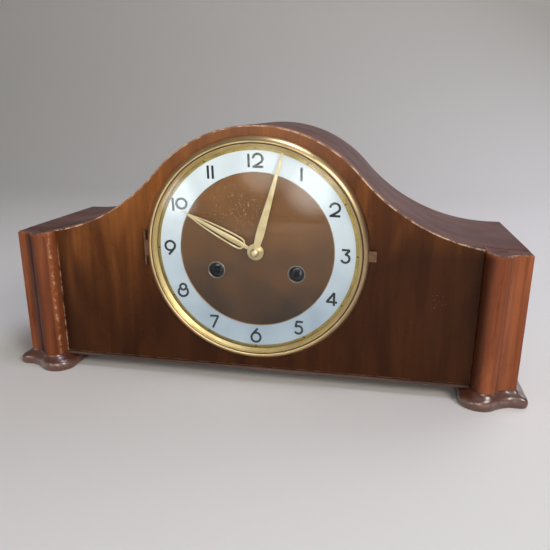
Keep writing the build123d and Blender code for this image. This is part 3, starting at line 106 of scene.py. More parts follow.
# Dial
RING_IN, RING_OUT, RING_T = 62.9, 79.8, 0.4
DIAL_RIM, DIAL_FACE, DIAL_BACK = 0.9, 2.7, 4.0
RING_FACE_OUT = DIAL_RIM - RING_T
RING_EASE_IN, RING_CREST, RING_EASE_OUT, RING_DROP = 0.1, 0.02, 0.15, 0.12
LINE_R = 0.45
PRINT_T = 0.05
DOT_AT, DOT_R, TICK_R = 81.2, 0.75, 0.28
STROKE_W = 1.85
# Half height over which painted shade darkens the dial's paint towards its foot
LOW_SHADE_HALF = 52.0
FIGURE_AT = 71.9
DOUBLE_PLACES = {10: (-5.3, 1.5), 11: (-1.85, 1.85), 12: (-5.2, 2.0)}
WIND_X, WIND_DROP = 33.2, 17.2
GROMMET_IN, GROMMET_OUT, GROMMET_T, WELL_BACK = 6.25, 7.25, 0.5, 9.4
EYELET_WALL, WELL_GAP, WELL_T, ARBOR_GAP = 0.35, 0.3, 0.4, 0.6
ARBOR_R, SQUARE_HALF, DOME_H, TIP_FOOT, TIP_FACE = 2.8, 2.14, 0.36, 1.2, 0.15

# Bezel and glass
BEZEL_R, BEZEL_GAP = 91.1, 0.5
BEZEL_CREST_R, BEZEL_CREST, BEZEL_SEAT = 87.0, 5.3, 85.2
SHOULDER_R, SHOULDER_Y, BEAD_R, BEAD_Y, BEAD_FOOT = 89.54, -3.32, 86.2, -5.2, -4.85
GROOVE_R, GROOVE_HALF, GROOVE_Y = 85.45, 0.12, -4.45
BEZEL_LIP, LIP_FRONT, LIP_BACK, EASE = 84.6, -4.9, -4.4, 0.1
SIGHT_IN, SIGHT_OUT, SIGHT_W, SIGHT_EDGE, SIGHT_CLEAR = 82.4, 85.1, 0.7, 0.8, 0.3
GLASS_R, GLASS_EDGE, GLASS_EDGE_Y, GLASS_SAG, GLASS_T = 498.5, 85.0, -4.1, 7.3, 1.5

# Hands
HOUR_Y, MINUTE_Y, HAND_T, NUT_Y = 0.0, -1.9, 0.7, -5.7
HOUR_AT, MINUTE_AT = 297.2, 15.6
HOUR_L, MINUTE_L = 68.4, 81.2
HOUR_BOSS_R, MINUTE_BOSS_R, NUT_R = 6.75, 5.3, 4.3
HOUR_BORE_R, MINUTE_BORE_R, BOSS_T = 3.0, 2.2, 1.0
HAND_EDGE, RIDGE = 0.45, 0.5
SPEAR_AT = [3.0, 7.0, 14.5, 23.0, 34.5, 45.0, 54.5, HOUR_L]
SPEAR_HALF = [1.0, 1.25, 2.1, 2.2, 1.75, 1.35, 1.2, 0.15]
LANCE_AT = [2.4, 6.0, 10.0, 14.0, 19.0, 25.0, MINUTE_L]
LANCE_HALF = [2.4, 2.6, 3.0, 3.25, 3.25, 3.0, 0.55]
WIRE_AT = [10.8, 11.4, 12.6, 15.0, 18.6, 25.0, 34.5, 45.0, 53.3, 61.6]
WIRE_OUT = np.array([1.3, 2.9, 3.9, 4.35, 4.45, 4.3, 3.8, 3.0, 2.0, 0.7])
WIRE_R_AT, WIRE_R = [10, 14, 42, 62], [0.7, 0.7, 0.6, 0.35]
COLLAR_R, DOME_IN, DOME_UP, DOME_BULGE_IN, DOME_BULGE_UP = 0.45, 0.7, 0.95, 0.72, 2.7

WELD = 1e-4


def arc(centre, radius, start, end, count):
    """Points at equal angle steps on a circle, angles in degrees from +x towards the second axis."""
    turn = np.radians(np.linspace(start, end, count))
    return np.stack([centre[0] + radius * np.cos(turn), centre[1] + radius * np.sin(turn)], -1)


def arc_through(a, b, c, count):
    """Points from a to c on the circle through a, b and c.

    Its centre is as far from each of them, which is two straight equations, and the angle runs from a's
    to c's in the sense that passes b.
    """
    a, b, c = np.array(a, float), np.array(b, float), np.array(c, float)
    centre = np.linalg.solve(2 * np.array([b - a, c - a]), [b @ b - a @ a, c @ c - a @ a])
    start, middle, end = np.degrees([math.atan2(*(p - centre)[::-1]) for p in (a, b, c)])
    sense = 1 if (middle - start) % 360 < (end - start) % 360 else -1
    return arc(centre, math.dist(a, centre), start, start + sense * ((sense * (end - start)) % 360), count)


def evenly(path, count, closed=False):
    """The same line with points at equal distances along it."""
    line = np.vstack([path, path[:1]]) if closed else np.asarray(path, float)
    along = np.concatenate([[0], np.cumsum(np.hypot(*np.diff(line, axis=0).T))])
    wanted = np.linspace(0, along[-1], count, endpoint=not closed)
    return np.stack([np.interp(wanted, along, line[:, axis]) for axis in (0, 1)], -1)


def soften(path, passes):
    """A closed line with its corners eased: each pass takes the mean of a point and its neighbours."""
    for _ in range(passes):
        path = (np.roll(path, 1, 0) + 2 * path + np.roll(path, -1, 0)) / 4
    return path


def smoothed(values, passes):
    """Values in a row, the end ones kept: each pass takes the mean of a value and its neighbours."""
    values = np.array(values, float)
    for _ in range(passes):
        values[1:-1] = (values[:-2] + 2 * values[1:-1] + values[2:]) / 4
    return values


def beside(path):
    """Unit vectors square to a line at its points."""
    ahead = np.gradient(path, axis=0)
    ahead /= np.linalg.norm(ahead, axis=1, keepdims=True)
    return np.stack([-ahead[:, 1], ahead[:, 0]], -1)


def inset(path, distance):
    """A closed line moved inwards, each point along the bisector of its two sides' normals."""
    side = np.roll(path, -1, 0) - path
    side = side / np.maximum(np.linalg.norm(side, axis=1, keepdims=True), 1e-12)
    area = np.sum(path[:, 0] * np.roll(path[:, 1], -1) - path[:, 1] * np.roll(path[:, 0], -1))
    normal = np.stack([-side[:, 1], side[:, 0]], -1) * np.sign(area)
    before = np.roll(normal, 1, 0)
    bisector = (normal + before) / (1 + np.sum(normal * before, 1, keepdims=True))
    return path + distance * bisector


def hat(x):
    """Height of the case's top: a crest arc, a hollow arc of the opposite bend, then flat shoulders."""
    x = np.abs(x)
    crest = CREST_Z + np.sqrt(np.maximum(CREST_R ** 2 - x ** 2, 0))
    hollow = COVE_Z - np.sqrt(COVE_R ** 2 - np.clip(COVE_X - x, 0, COVE_R) ** 2)
    return np.where(x < TURN_X, crest, hollow)


def spread(xy, y):
    """Points drawn in x and z, at depth y, in three dimensions."""
    xy = np.asarray(xy, float)
    return np.stack([xy[..., 0], np.broadcast_to(y, xy.shape[:-1]), xy[..., 1]], -1)


def lathe(profile, closed=True, at=(0.0, 0.0), count=192):
    """Grid of a profile of (radius, depth) turned about the front-to-back line through a point."""
    profile = np.asarray(profile, float)
    turn = np.linspace(0, 2 * math.pi, count, endpoint=False)[:, None]
    x, z = at[0] + profile[:, 0] * np.sin(turn), at[1] + profile[:, 0] * np.cos(turn)
    return np.stack([x, np.broadcast_to(profile[:, 1], x.shape), z], -1), True, closed


def fan_ends(rows):
    """Rows of a tube with a row at the middle of each end put on, which closes it."""
    ends = [np.broadcast_to(row.mean(0), row.shape)[None] for row in (rows[0], rows[-1])]
    return np.concatenate([ends[0], rows, ends[1]])


def weld(points, quads):
    """Points in one place become one, and a face keeps only the corners that differ."""
    _, first, again = np.unique(np.round(points / WELD).astype(np.int64), axis=0, return_index=True,
                                return_inverse=True)
    quads = again.reshape(-1)[quads]
    twin = quads == np.roll(quads, -1, axis=1)
    faces = [quads[~twin.any(1)]]
    for corner in range(4):
        faces.append(np.delete(quads[twin[:, corner] & (twin.sum(1) == 1)], corner, axis=1))
    return first, faces


def outward(points, faces):
    """Turns all faces over if the volume that they enclose comes out negative."""
    middle = points.mean(0)
    volume = 0.0
    for face in faces:
        corners = points[face] - middle
        for k in range(1, face.shape[1] - 1):
            volume += np.sum(corners[:, 0] * np.cross(corners[:, k], corners[:, k + 1]))
    return faces if volume > 0 else [face[:, ::-1] for face in faces]


def make_piece(name, grids, material, body, stands_for=(), sharp=32):
    """One mesh object from grids of points in millimetres.

    A grid is (points, rows close, columns close), with an optional fourth entry that gives each point's
    rubbing above zero and painted shade below zero. Neighbouring rows and columns span four-sided faces.
    """
    points, wear_and_shade, faces = [], [], []
    start = 0
    for grid in grids:
        place, round_rows, round_columns = grid[:3]
        rows, columns = place.shape[:2]
        r, c = np.meshgrid(np.arange(rows if round_rows else rows - 1),
                           np.arange(columns if round_columns else columns - 1), indexing="ij")
        r2, c2 = (r + 1) % rows, (c + 1) % columns
        quads = np.stack([r * columns + c, r2 * columns + c, r2 * columns + c2, r * columns + c2], -1)
        flat = place.reshape(-1, 3)
        first, shapes = weld(flat, quads.reshape(-1, 4))
        shapes = outward(flat[first], shapes)
        points.append(flat[first])
        wear_and_shade.append(grid[3].reshape(-1)[first] if len(grid) > 3 else np.zeros(len(first)))
        faces += [corner for shape in shapes for corner in (shape + start).tolist()]
        start += len(first)
    mesh = bpy.data.meshes.new(name)
    mesh.from_pydata((np.concatenate(points) * MM + ORIGIN).tolist(), [], faces)
    mesh.attributes.new("wear_and_shade", "FLOAT", "POINT").data.foreach_set(
        "value", np.concatenate(wear_and_shade).astype(np.float32))
    mesh.shade_smooth()
    mesh.set_sharp_from_angle(angle=math.radians(sharp))
    mesh.materials.append(material)
    piece = bpy.data.objects.new(name, mesh)
    bpy.context.scene.collection.objects.link(piece)
    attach(piece, body)
    if stands_for:
        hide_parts(*stands_for)
    return piece


def colour(hex_value):
    """sRGB hex to linear: a channel is divided by 12.92 where it is low, else raised to the power 2.4."""
    channels = np.array([int(hex_value[k:k + 2], 16) / 255 for k in (1, 3, 5)])
    linear = np.where(channels <= 0.04045, channels / 12.92, ((channels + 0.055) / 1.055) ** 2.4)
    return (*linear.tolist(), 1.0)


def add(tree, kind, inputs=None, **settings):
    """Adds a node with its settings; an input that is a socket is linked, and any other is its value."""
    made = tree.nodes.new("ShaderNode" + kind)
    for name, value in settings.items():
        setattr(made, name, value)
    for key, value in (inputs or {}).items():
        if isinstance(value, bpy.types.NodeSocket):
            tree.links.new(value, made.inputs[key])
        else:
            made.inputs[key].default_value = value
    return made


def start_material(name, **sockets):
    """A material with one Principled shader, whose even values are set on its own sockets."""
    material = bpy.data.materials.new(name)
    material.use_nodes = True
    tree = material.node_tree
    tree.nodes.clear()
    shader = add(tree, "BsdfPrincipled", {key.replace("_", " "): value for key, value in sockets.items()})
    add(tree, "OutputMaterial", {"Surface": shader.outputs[0]})
    return material, tree, shader


def span(tree, value, low, high, top=1.0, bottom=0.0, smooth=False):
    """A value's place on the way from low to high, held to that way, as a number from bottom to top."""
    return add(tree, "MapRange", {0: value, 1: low, 2: high, 3: bottom, 4: top},
               interpolation_type="SMOOTHSTEP" if smooth else "LINEAR").outputs[0]


def sums(tree, operation, *values, **settings):
    """One step of arithmetic on sockets or plain numbers."""
    return add(tree, "Math", dict(enumerate(values)), operation=operation, **settings).outputs[0]


def apart(tree, place, spot):
    """Distance of a place from a spot, in metres."""
    return add(tree, "VectorMath", {0: place, 1: spot}, operation="DISTANCE").outputs["Value"]


def blend(tree, share, first, second):
    """The first colour with a share of the second over it."""
    return add(tree, "Mix", {0: share, 6: first, 7: second}, data_type="RGBA").outputs[2]


def noise(tree, place, size_mm, detail, roughness=0.5, twist=0.0):
    """Cloudy noise whose lumps are about as large as the size given."""
    return add(tree, "TexNoise", {"Vector": place, "Scale": 1 / (MM * size_mm), "Detail": detail,
                                  "Roughness": roughness, "Distortion": twist}).outputs[0]


def flecks(tree, place, at, reach_mm, grain_mm, share):
    """Mask of small pale marks round one spot of the dial's plane: noise above a level, fading outwards."""
    spot = (np.array([at[0], 0.0, at[1]]) * MM + ORIGIN).tolist()
    near = span(tree, apart(tree, place, spot), reach_mm * MM, reach_mm * MM * 0.3)
    high = span(tree, noise(tree, place, grain_mm, 3.0), share, share + 0.05)
    return sums(tree, "MULTIPLY", near, high)


def panel_tone(tree, place, tone, dark, ends):
    """A front panel's tone with painted light: painted shade by its foot, its ends, under the dial and on its
    right, a painted sheen by its crest and a painted highlight in one patch.

    Each is a share that runs from one height, place across or distance to another. The dark ones are
    added up and held below a highest share.
    """
    across, _, height = add(tree, "SeparateXYZ", {0: place}).outputs
    off_middle = sums(tree, "ABSOLUTE", sums(tree, "SUBTRACT", across, SHADE_MIDDLE * MM))
    outer = span(tree, off_middle, *END_SHADE_X * MM, END_SHADE)
    low = span(tree, height, *FOOT_SHADE_Z * MM, smooth=True)
    deep = sums(tree, "MULTIPLY_ADD", low, FOOT_SHADE, sums(tree, "MULTIPLY", outer, low))
    # Painted shadow under the dial, then painted shade towards the right
    spot = apart(tree, place, (SPOT_X * MM, ORIGIN[1], SPOT_Z * MM))
    deep = sums(tree, "ADD", deep, span(tree, spot, *SPOT_REACH * MM, SPOT_SHADE))
    deep = sums(tree, "ADD", deep, span(tree, across, *RIGHT_SHADE_X * MM, RIGHT_SHADE))
    deep = sums(tree, "MULTIPLY", deep, ends, use_clamp=True)
    tone = blend(tree, sums(tree, "MINIMUM", deep, DEEPEST_SHADE), tone, colour(dark))
    # Painted highlight: a warm glow left of the dial
    patch = apart(tree, place, (PAINTED_GLOW_X * MM, ORIGIN[1], PAINTED_GLOW_Z * MM))
    tone = blend(tree, span(tree, patch, *PAINTED_GLOW_REACH * MM, PAINTED_GLOW), tone, colour(PAINTED_GLOW_TONE))
    # Painted sheen along the crest
    return blend(tree, span(tree, height, *CREST_SHEEN_Z * MM, CREST_SHEEN), tone, colour(CREST_SHEEN_TONE))


def lacquered_wood(name, light, middle, dark, worn, along, grain_mm, figure_mm, veins, rough, coat,
                   gloss=0.14, shine=0.12, ends=0.0, scuff=None, chip=0.44, least=0.12):
    """Polished wood: a broad figure and narrow streaks run along the grain, with short dark pores.

    along is the grain's axis, grain_mm and figure_mm the widths of a streak and of the figure, veins how
    strongly the streaks show. Where the mesh's attribute for rubbing and painted shade is above zero, the
    lacquer is rubbed through to pale wood, in patches above the level chip and by the share least between
    them, and where it is below zero the tone darkens as painted shade. ends is how strongly a front
    panel's painted shade shows; with it come a painted highlight and a painted sheen.
    """
    material, tree, shader = start_material(name, Coat_Weight=coat, Coat_Roughness=gloss,
                                            Specular_IOR_Level=shine)
    place = add(tree, "TexCoord").outputs["Object"]

    def stretched(width, length, detail, twist):
        scale = [1 / (MM * (length if axis == along else width)) for axis in range(3)]
        drawn = add(tree, "Mapping", {"Vector": place, "Scale": scale}).outputs[0]
        return noise(tree, drawn, 1 / MM, detail, 0.55, twist)

    broad = span(tree, stretched(figure_mm, figure_mm * 5, 2.0, 0.8), 0.34, 0.68, smooth=True)
    fine = span(tree, stretched(grain_mm, grain_mm * 40, 3.0, 0.3), 0.35, 0.72, veins)
    pore = stretched(PORE_W, PORE_L, 2.0, 0.0)
    tone = blend(tree, fine, blend(tree, broad, colour(middle), colour(light)), colour(dark))
    if ends:
        tone = panel_tone(tree, place, tone, dark, ends)
    rubbed = add(tree, "Attribute", attribute_name="wear_and_shade").outputs["Fac"]
    # Painted shade where the attribute is below zero
    tone = blend(tree, span(tree, rubbed, 0.0, -1.0), tone, colour(dark))
    tone = blend(tree, span(tree, pore, 0.60, 0.74, 0.5), tone, colour(PORE_TONE))
    patched = span(tree, noise(tree, place, CHIP_PATCH, 4.0, 0.65), chip, chip + 0.14, bottom=least)
    bare = sums(tree, "MULTIPLY", rubbed, patched)
    if scuff:
        marks = flecks(tree, place, scuff, SCUFF_REACH, SCUFF_GRAIN, 0.62)
        bare = sums(tree, "MULTIPLY_ADD", marks, SCUFF_SHOWS, bare, use_clamp=True)
    tone = blend(tree, bare, tone, colour(worn))
    dull = span(tree, noise(tree, place, SMEAR_W, 3.0), 0.3, 0.7, rough + 0.08, rough - 0.06)
    dent = add(tree, "Bump", {"Height": pore, "Strength": 0.05, "Distance": 0.0002})
    tree.links.new(tone, shader.inputs["Base Color"])
    tree.links.new(dull, shader.inputs["Roughness"])
    tree.links.new(dent.outputs[0], shader.inputs["Normal"])
    return material


def bezel_tone(tree, place, tone):
    """A bezel's tone with painted shade: browner towards its right, and near-black in its groove.

    The groove's painted shade goes by the distance from the groove's radius, taken round the dial's axis.
    """
    flat = add(tree, "VectorMath", {0: place, 1: (1.0, 0.0, 1.0), 2: (-ORIGIN * [1, 0, 1]).tolist()},
               operation="MULTIPLY_ADD").outputs[0]
    radius = add(tree, "VectorMath", {0: flat}, operation="LENGTH").outputs["Value"]
    off = sums(tree, "ABSOLUTE", sums(tree, "SUBTRACT", radius, GROOVE_R * MM))
    # Painted shade: near-black in the groove, and browner towards the right
    groove_dark = span(tree, off, GROOVE_SHADE_W * MM, GROOVE_SHADE_W * MM / 3, GROOVE_SHADE)
    across = add(tree, "SeparateXYZ", {0: flat}).outputs[0]
    tone = blend(tree, span(tree, across, *BEZEL_SHADE_X * MM, BEZEL_SHADE), tone, colour(BEZEL_SHADE_TONE))
    return blend(tree, groove_dark, tone, colour(GROOVE_SHADE_TONE))


def metal(name, clean, tarnished, rough, patch_mm, grit_mm=0.0, metallic=1.0, shaded_bezel=False):
    """Metal whose tarnish lies in soft patches; a grit size gives it fine drawn lines.

    The bezel flag adds a bezel's painted shade: browner towards its right and near-black in its groove.
    """
    material, tree, shader = start_material(name, Metallic=metallic)
    place = add(tree, "TexCoord").outputs["Object"]
    patch = noise(tree, place, patch_mm, 5.0, 0.6)
    tone = blend(tree, span(tree, patch, 0.35, 0.72, smooth=True), colour(clean), colour(tarnished))
    if shaded_bezel:
        tone = bezel_tone(tree, place, tone)
    tree.links.new(tone, shader.inputs["Base Color"])
    tree.links.new(span(tree, patch, 0.3, 0.75, rough + 0.14, rough), shader.inputs["Roughness"])
    if grit_mm:
        grit = noise(tree, place, grit_mm, 2.0)
        dent = add(tree, "Bump", {"Height": grit, "Strength": 0.12, "Distance": 0.0001})
        tree.links.new(dent.outputs[0], shader.inputs["Normal"])
    return material


def domed_glass(name):
    """Clear glass: sharp reflections, and lamps shine through it unbent."""
    material, tree, shader = start_material(name, Base_Color=colour("#f7fbfa"), Roughness=0.02, IOR=1.26,
                                            Transmission_Weight=1.0)
    clear = add(tree, "BsdfTransparent", {0: colour("#f4f8f7")}).outputs[0]
    shadow = add(tree, "LightPath").outputs["Is Shadow Ray"]
    mixed = add(tree, "MixShader", {0: shadow, 1: shader.outputs[0], 2: clear})
    tree.links.new(mixed.outputs[0], tree.nodes["Material Output"].inputs["Surface"])
    return material


def painted(name, base, shade, rough, coat, patch_mm, low_shade=0.0, chipped=None):
    """Sprayed and rubbed paint on brass: nearly even, with slight clouds, a soft gloss and a few chips.

    The share before chipped sets how far painted shade darkens it towards the shade colour at the dial's
    foot.
    """
    material, tree, shader = start_material(name, Coat_Weight=coat, Coat_Roughness=0.1,
                                            Specular_IOR_Level=0.35)
    place = add(tree, "TexCoord").outputs["Object"]
    cloud = noise(tree, place, patch_mm, 4.0)
    height = add(tree, "SeparateXYZ", {0: place}).outputs[2]
    # Painted shade: darker towards the dial's foot
    lower_shade = span(tree, height, ORIGIN[2] + LOW_SHADE_HALF * MM, ORIGIN[2] - LOW_SHADE_HALF * MM, low_shade)
    share = sums(tree, "ADD", span(tree, cloud, 0.32, 0.68, 1.0 - low_shade), lower_shade)
    tone = blend(tree, share, colour(base), colour(shade))
    if chipped:
        marks = flecks(tree, place, FLAKES_AT, FLAKES_REACH, FLAKE_W, 0.61)
        tone = blend(tree, sums(tree, "MULTIPLY", marks, FLAKES_SHOW), tone, colour(chipped))
    tree.links.new(tone, shader.inputs["Base Color"])
    tree.links.new(span(tree, cloud, 0.3, 0.7, rough + 0.08, rough), shader.inputs["Roughness"])
    return material


# Walnut sliced thin and French-polished: warm brown, a broad soft figure, pale where the edge is rubbed, the
# pale line along the top also a painted highlight; over it lie painted shade, a painted glow and a painted
# crest sheen.
panel_walnut = lacquered_wood("walnut_veneer_french_polished", "#995a26", "#673711", "#2b1205", "#d9b397", 2,
                              4.2, 24.0, 0.40, 0.30, 0.03, ends=0.85, scuff=SCUFF_AT)
# The ends in the same veneer, out of the light and less faded: an even red-brown.
end_walnut = lacquered_wood("walnut_veneer_ends", "#75431d", "#5a3012", "#2c1505", "#d9b397", 2,
                            3.2, 34.0, 0.42, 0.32, 0.03)
# The veneer bent over the roof, its grain along the hat: redder and satin, with a soft pale sheen.
roof_walnut = lacquered_wood("walnut_veneer_bent", "#6d3f35", "#562f28", "#371d19", "#c9a083", 0,
                             3.0, 28.0, 0.30, 0.42, 0.05)
# Beech stained red-brown and lacquered: a closer, straighter grain than the veneer's.
column_beech = lacquered_wood("beech_stained_lacquered", "#a05c38", "#85472a", "#35170b", "#e0bb94", 2,
                              2.2, 20.0, 0.38, 0.34, 0.10, chip=0.52, least=0.0)
# The feet take the same stain in more coats, dark and glossy, rubbed pale at their lips, the pale tan there
# also a painted highlight.
foot_beech = lacquered_wood("beech_stained_dark", "#6a3a25", "#4f2a1a", "#2c150c", "#a98a74", 0,
                            2.0, 16.0, 0.40, 0.32, 1.0, gloss=0.25, shine=0.7)
# Plain stained board inside and behind, brushed on and hardly polished.
board_wood = lacquered_wood("board_stained_matt", "#6b4a34", "#573a28", "#38241a", "#8b7462", 0,
                            2.4, 24.0, 0.45, 0.55, 0.0)
# The floor board's front edge, thinly stained: a greyer, paler line under the panel, partly a painted sheen
# of the light on it.
base_wood = lacquered_wood("board_edge_painted_sheen", "#684f46", "#543f38", "#382a25", "#857268", 0,
                           2.0, 18.0, 0.45, 0.55, 0.0)
# Sheet brass, spun and polished, then lacquered: a warm pale mirror, with painted shade browner to its right
# and near-black in its groove.
bezel_brass = metal("brass_spun_polished", "#f1d69f", "#d8b784", 0.26, 22.0, shaded_bezel=True)
# The ring behind the glass, satin and kept clean by it: a fuller gold.
sight_brass = metal("brass_spun_satin", "#f4d99d", "#e3c284", 0.36, 18.0)
# The door's hinges and knob, stamped from sheet and polished once: warm, with small brown patches.
hinge_brass = metal("brass_sheet_stamped", "#d9bd84", "#b0925f", 0.30, 9.0)
# The bezel's catch and hinge in the same sheet, dull: their dark brown is painted shade and a painted
# reflection of the wood.
shaded_fitting_brass = metal("brass_sheet_painted_shade", "#7d5f49", "#624b3a", 0.36, 8.0, 0.6)
# The dial's brass sheet under yellowed lacquer, a dull olive gold.
dial_brass = metal("brass_sheet_lacquered", "#aa9258", "#8b7642", 0.40, 14.0)
# The ring's beaded edge, browned.
bead_brass = metal("brass_bead_browned", "#a8866a", "#86684e", 0.36, 8.0)
# Hands stamped from brass and lacquered pale.
hand_brass = metal("brass_stamped_pale", "#e0caa0", "#ccb283", 0.34, 9.0, 0.6)
# Rolled brass of plates and wheels, left as it was cut.
movement_brass = metal("brass_rolled", "#c39c50", "#9a7738", 0.32, 12.0, 0.4)
# Bright drawn steel of arbors, springs and screws.
drawn_steel = metal("steel_drawn", "#a9abad", "#7f8184", 0.3, 6.0, 0.4)
# Winding arbors' ends, hardened blue-black and polished.
blued_steel = metal("steel_blued_polished", "#20242a", "#181b20", 0.08, 20.0)
# Tubes behind the eyelets, near-black as painted shade, so that the holes show as dark spots.
shade_black_steel = metal("steel_painted_shade_black", "#14171c", "#0c0e11", 0.5, 5.0, metallic=0.5)
# Nickelled eyelets round the winding holes, gone grey.
eyelet_nickel = metal("nickel_plate_dulled", "#a39a92", "#7c746d", 0.32, 4.0)
# Cast iron and blued rods of the gong.
gong_iron = metal("iron_cast_blacked", "#26262a", "#17171a", 0.5, 8.0, 0.7, metallic=0.7)
# Chapter ring: silver-white paint, hard and slightly blue, darkened towards its foot as painted shade.
ring_white = painted("paint_silver_white", "#dfe4ec", "#929eae", 0.34, 0.2, 30.0, low_shade=0.8)
# Dial centre: brown bronze lacquer over brass, satin, a little cloudy, flaked where it was rubbed, darkened
# towards its foot as painted shade.
centre_bronze = painted("lacquer_bronze_brown", "#7e4f20", "#160a03", 0.34, 0.05, 26.0, low_shade=0.75,
                        chipped="#c9a98a")
# Printed figures and dots: blue-black ink, thick enough to shine a little.
dial_ink = painted("ink_blue_black", "#0e131f", "#090d16", 0.45, 0.0, 6.0)
# Window glass, bent to a dome.
clock_glass = domed_glass("glass_bent_clear")


def front_panel():
    """Rings from the dial's rebate to the hat's outline, over a rounded edge and back.

    The outline is the hat's curve, two upright sides and a straight foot. Each ring is the outline moved
    inwards, at its own depth; the flat face between the rebate and the edge is ruled along the dial's rays.
    """
    x = np.linspace(PANEL_HALF, -PANEL_HALF, 2001)
    top = evenly(np.stack([x, hat(x)], -1), 280)
    side = np.linspace(top[-1, 1], -PANEL_DROP, 40)[1:]
    foot = np.linspace(-PANEL_HALF, PANEL_HALF, 120)[1:]
    left = np.stack([np.full(len(side), -PANEL_HALF), side], -1)
    bottom = np.stack([foot, np.full(len(foot), -PANEL_DROP)], -1)
    right = np.stack([np.full(len(side) - 1, PANEL_HALF), side[::-1][1:]], -1)
    line = np.concatenate([top, left, bottom, right])
    # Rubbed pale along the edges; along the top the pale line is also a painted highlight on the rounded edge
    rub = np.concatenate([np.full(len(top), 1.0), np.interp(left[:, 1], *SIDE_RUB),
                          np.full(len(bottom), FOOT_RUB), np.full(len(right), RIGHT_RUB)])
    ray = line / np.linalg.norm(line, axis=1, keepdims=True)
    hole, rebate = ray * PANEL_HOLE_R, ray * REBATE_R
    inner = inset(line, EDGE_R)
    rings = [spread(hole, PANEL_T), spread(hole, REBATE), spread(rebate, REBATE), spread(rebate, 0.0)]
    worn = [0 * rub] * len(rings)
    wide = np.concatenate([np.full(len(top), 1.0), np.full(len(left), LEFT_RUB),
                           np.full(len(bottom) + len(right), 1.0)])
    flat = inset(line, EDGE_R + RUB_W * wide[:, None])
    for share in (0.35, 0.7, 1.0):
        rings.append(spread(rebate + (flat - rebate) * share, 0.0))
        worn.append(0 * rub)
    rings.append(spread(inner, 0.0))
    worn.append(rub)
    for turn in np.radians([15, 30, 45, 60, 75, 90]):
        rings.append(spread(inset(line, EDGE_R * (1 - math.sin(turn))), EDGE_R * (1 - math.cos(turn))))
        worn.append(rub * math.cos(turn))
    rings.append(spread(line, PANEL_T))
    worn.append(0 * rub)
    return np.stack(rings), True, True, np.stack(worn)


def roof():
    """The bent roof: a rounded strip's section carried over the hat, square to it everywhere.

    The section's points are a depth into the roof along the hat's normal and a place from front to back.
    Beyond the panel it starts behind the columns.
    """
    x = np.linspace(-CASE_HALF, CASE_HALF, 6001)
    line = evenly(np.stack([x, hat(x)], -1), 420)
    step = np.array([[-PANEL_HALF, hat(PANEL_HALF)], [PANEL_HALF, hat(PANEL_HALF)]])
    line = np.concatenate([line[line[:, 0] < -PANEL_HALF], step[[0, 0]],
                           line[np.abs(line[:, 0]) < PANEL_HALF], step[[1, 1]],
                           line[line[:, 0] > PANEL_HALF]])
    wide = np.abs(line[:, 0]) > PANEL_HALF
    count = len(line)
    first = np.argmax(~wide)
    wide[first], wide[count - 1 - first] = True, True
    nudge = 0.01
    slope = (hat(line[:, 0] + nudge) - hat(line[:, 0] - nudge)) / (2 * nudge)
    normal = np.stack([slope, -np.ones(count)], -1) / np.sqrt(1 + slope ** 2)[:, None]
    front = np.where(wide, COLUMN_BACK, PANEL_T)
    turn = np.radians(np.linspace(0, 90, 5))
    deep = np.concatenate([[ROOF_T, 0.0], EDGE_R * (1 - np.cos(turn)), [ROOF_T]])
    back = np.concatenate([CASE_DEPTH - EDGE_R + EDGE_R * np.sin(turn), [CASE_DEPTH]])
    rows = []
    for k, depth in enumerate(deep):
        place = line + normal * depth
        rows.append(spread(place, front if k < 2 else back[k - 2]))
    return fan_ends(np.stack(rows, 1)), False, True


def corner_plan(flare):
    """Plan of a right-hand column (flare 0) or of its foot at the floor (flare 1), as a closed line.

    From the inner back corner: forward, round the bulge, through the hollow, along the flat front, round
    the outer edge and back.
    """
    a = PANEL_HALF
    back = COLUMN_BACK + flare * (FOOT_BACK - COLUMN_BACK)
    out, front, inward = flare * FLARE_OUT, flare * FLARE_FRONT, flare * FLARE_IN
    side, tip = a + COLUMN_W + out, -COVE_PROUD - front
    inner_front = (a - inward, -COVE_PROUD - front * FLARE_INNER_SHARE)
    bulge = (a + BULGE_AT - inward / 3, -BULGE_PROUD - front)
    knee = (a + BULGE_W, -KNEE_PROUD - front)
    hollow = (a + COVE_MID + out / 4, -COVE_MID_PROUD - front)
    hollow_end = (a + COVE_W + out / 3, tip)
    edge = arc((side - COLUMN_EDGE_R, tip + COLUMN_EDGE_R), COLUMN_EDGE_R, -90, 0, 10)
    line = np.concatenate([[(a - inward, back)], arc_through(inner_front, bulge, knee, 60),
                           arc_through(knee, hollow, hollow_end, 40)[1:], edge, [(side, back)]])
    return evenly(line, 260, closed=True)


def column(hand):
    """Upright whose plan is carried from the foot to the hat's curve, with an eased top edge.

    Its value for rubbing falls off across from the left one's chipped inner edge, and below zero it is
    painted shade in bands across the column's front.
    """
    plan = soften(corner_plan(0.0), 6)
    across, front = plan[:, 0] - PANEL_HALF, plan[:, 1] < 0
    edge = CHIP_WEAR * np.exp(-((across - CHIP_AT) / CHIP_W) ** 2) * front * (hand < 0)
    # Bands of painted shade across the column's front
    for place, width, depth in SHADE_BANDS[hand]:
        edge = edge - depth * np.exp(-((across - place) / width) ** 2) * front
    levels = np.linspace(-PANEL_DROP, SHOULDER_H - CAP_T - 2 * EDGE_R, 30)
    rings = [np.column_stack([plan, np.full(len(plan), level)]) for level in levels]
    worn = [edge] * len(levels)
    for turn in np.radians([0, 30, 60, 90]):
        ring = inset(plan, EDGE_R * (1 - math.cos(turn)))
        rings.append(np.column_stack([ring, hat(ring[:, 0]) - CAP_T - EDGE_R * (1 - math.sin(turn))]))
        worn.append(np.maximum(edge, TOP_RUB * math.sin(turn)))
    grid = fan_ends(np.stack(rings)) * [hand, 1, 1]
    return grid, False, True, np.stack([edge] + worn + [worn[-1]])


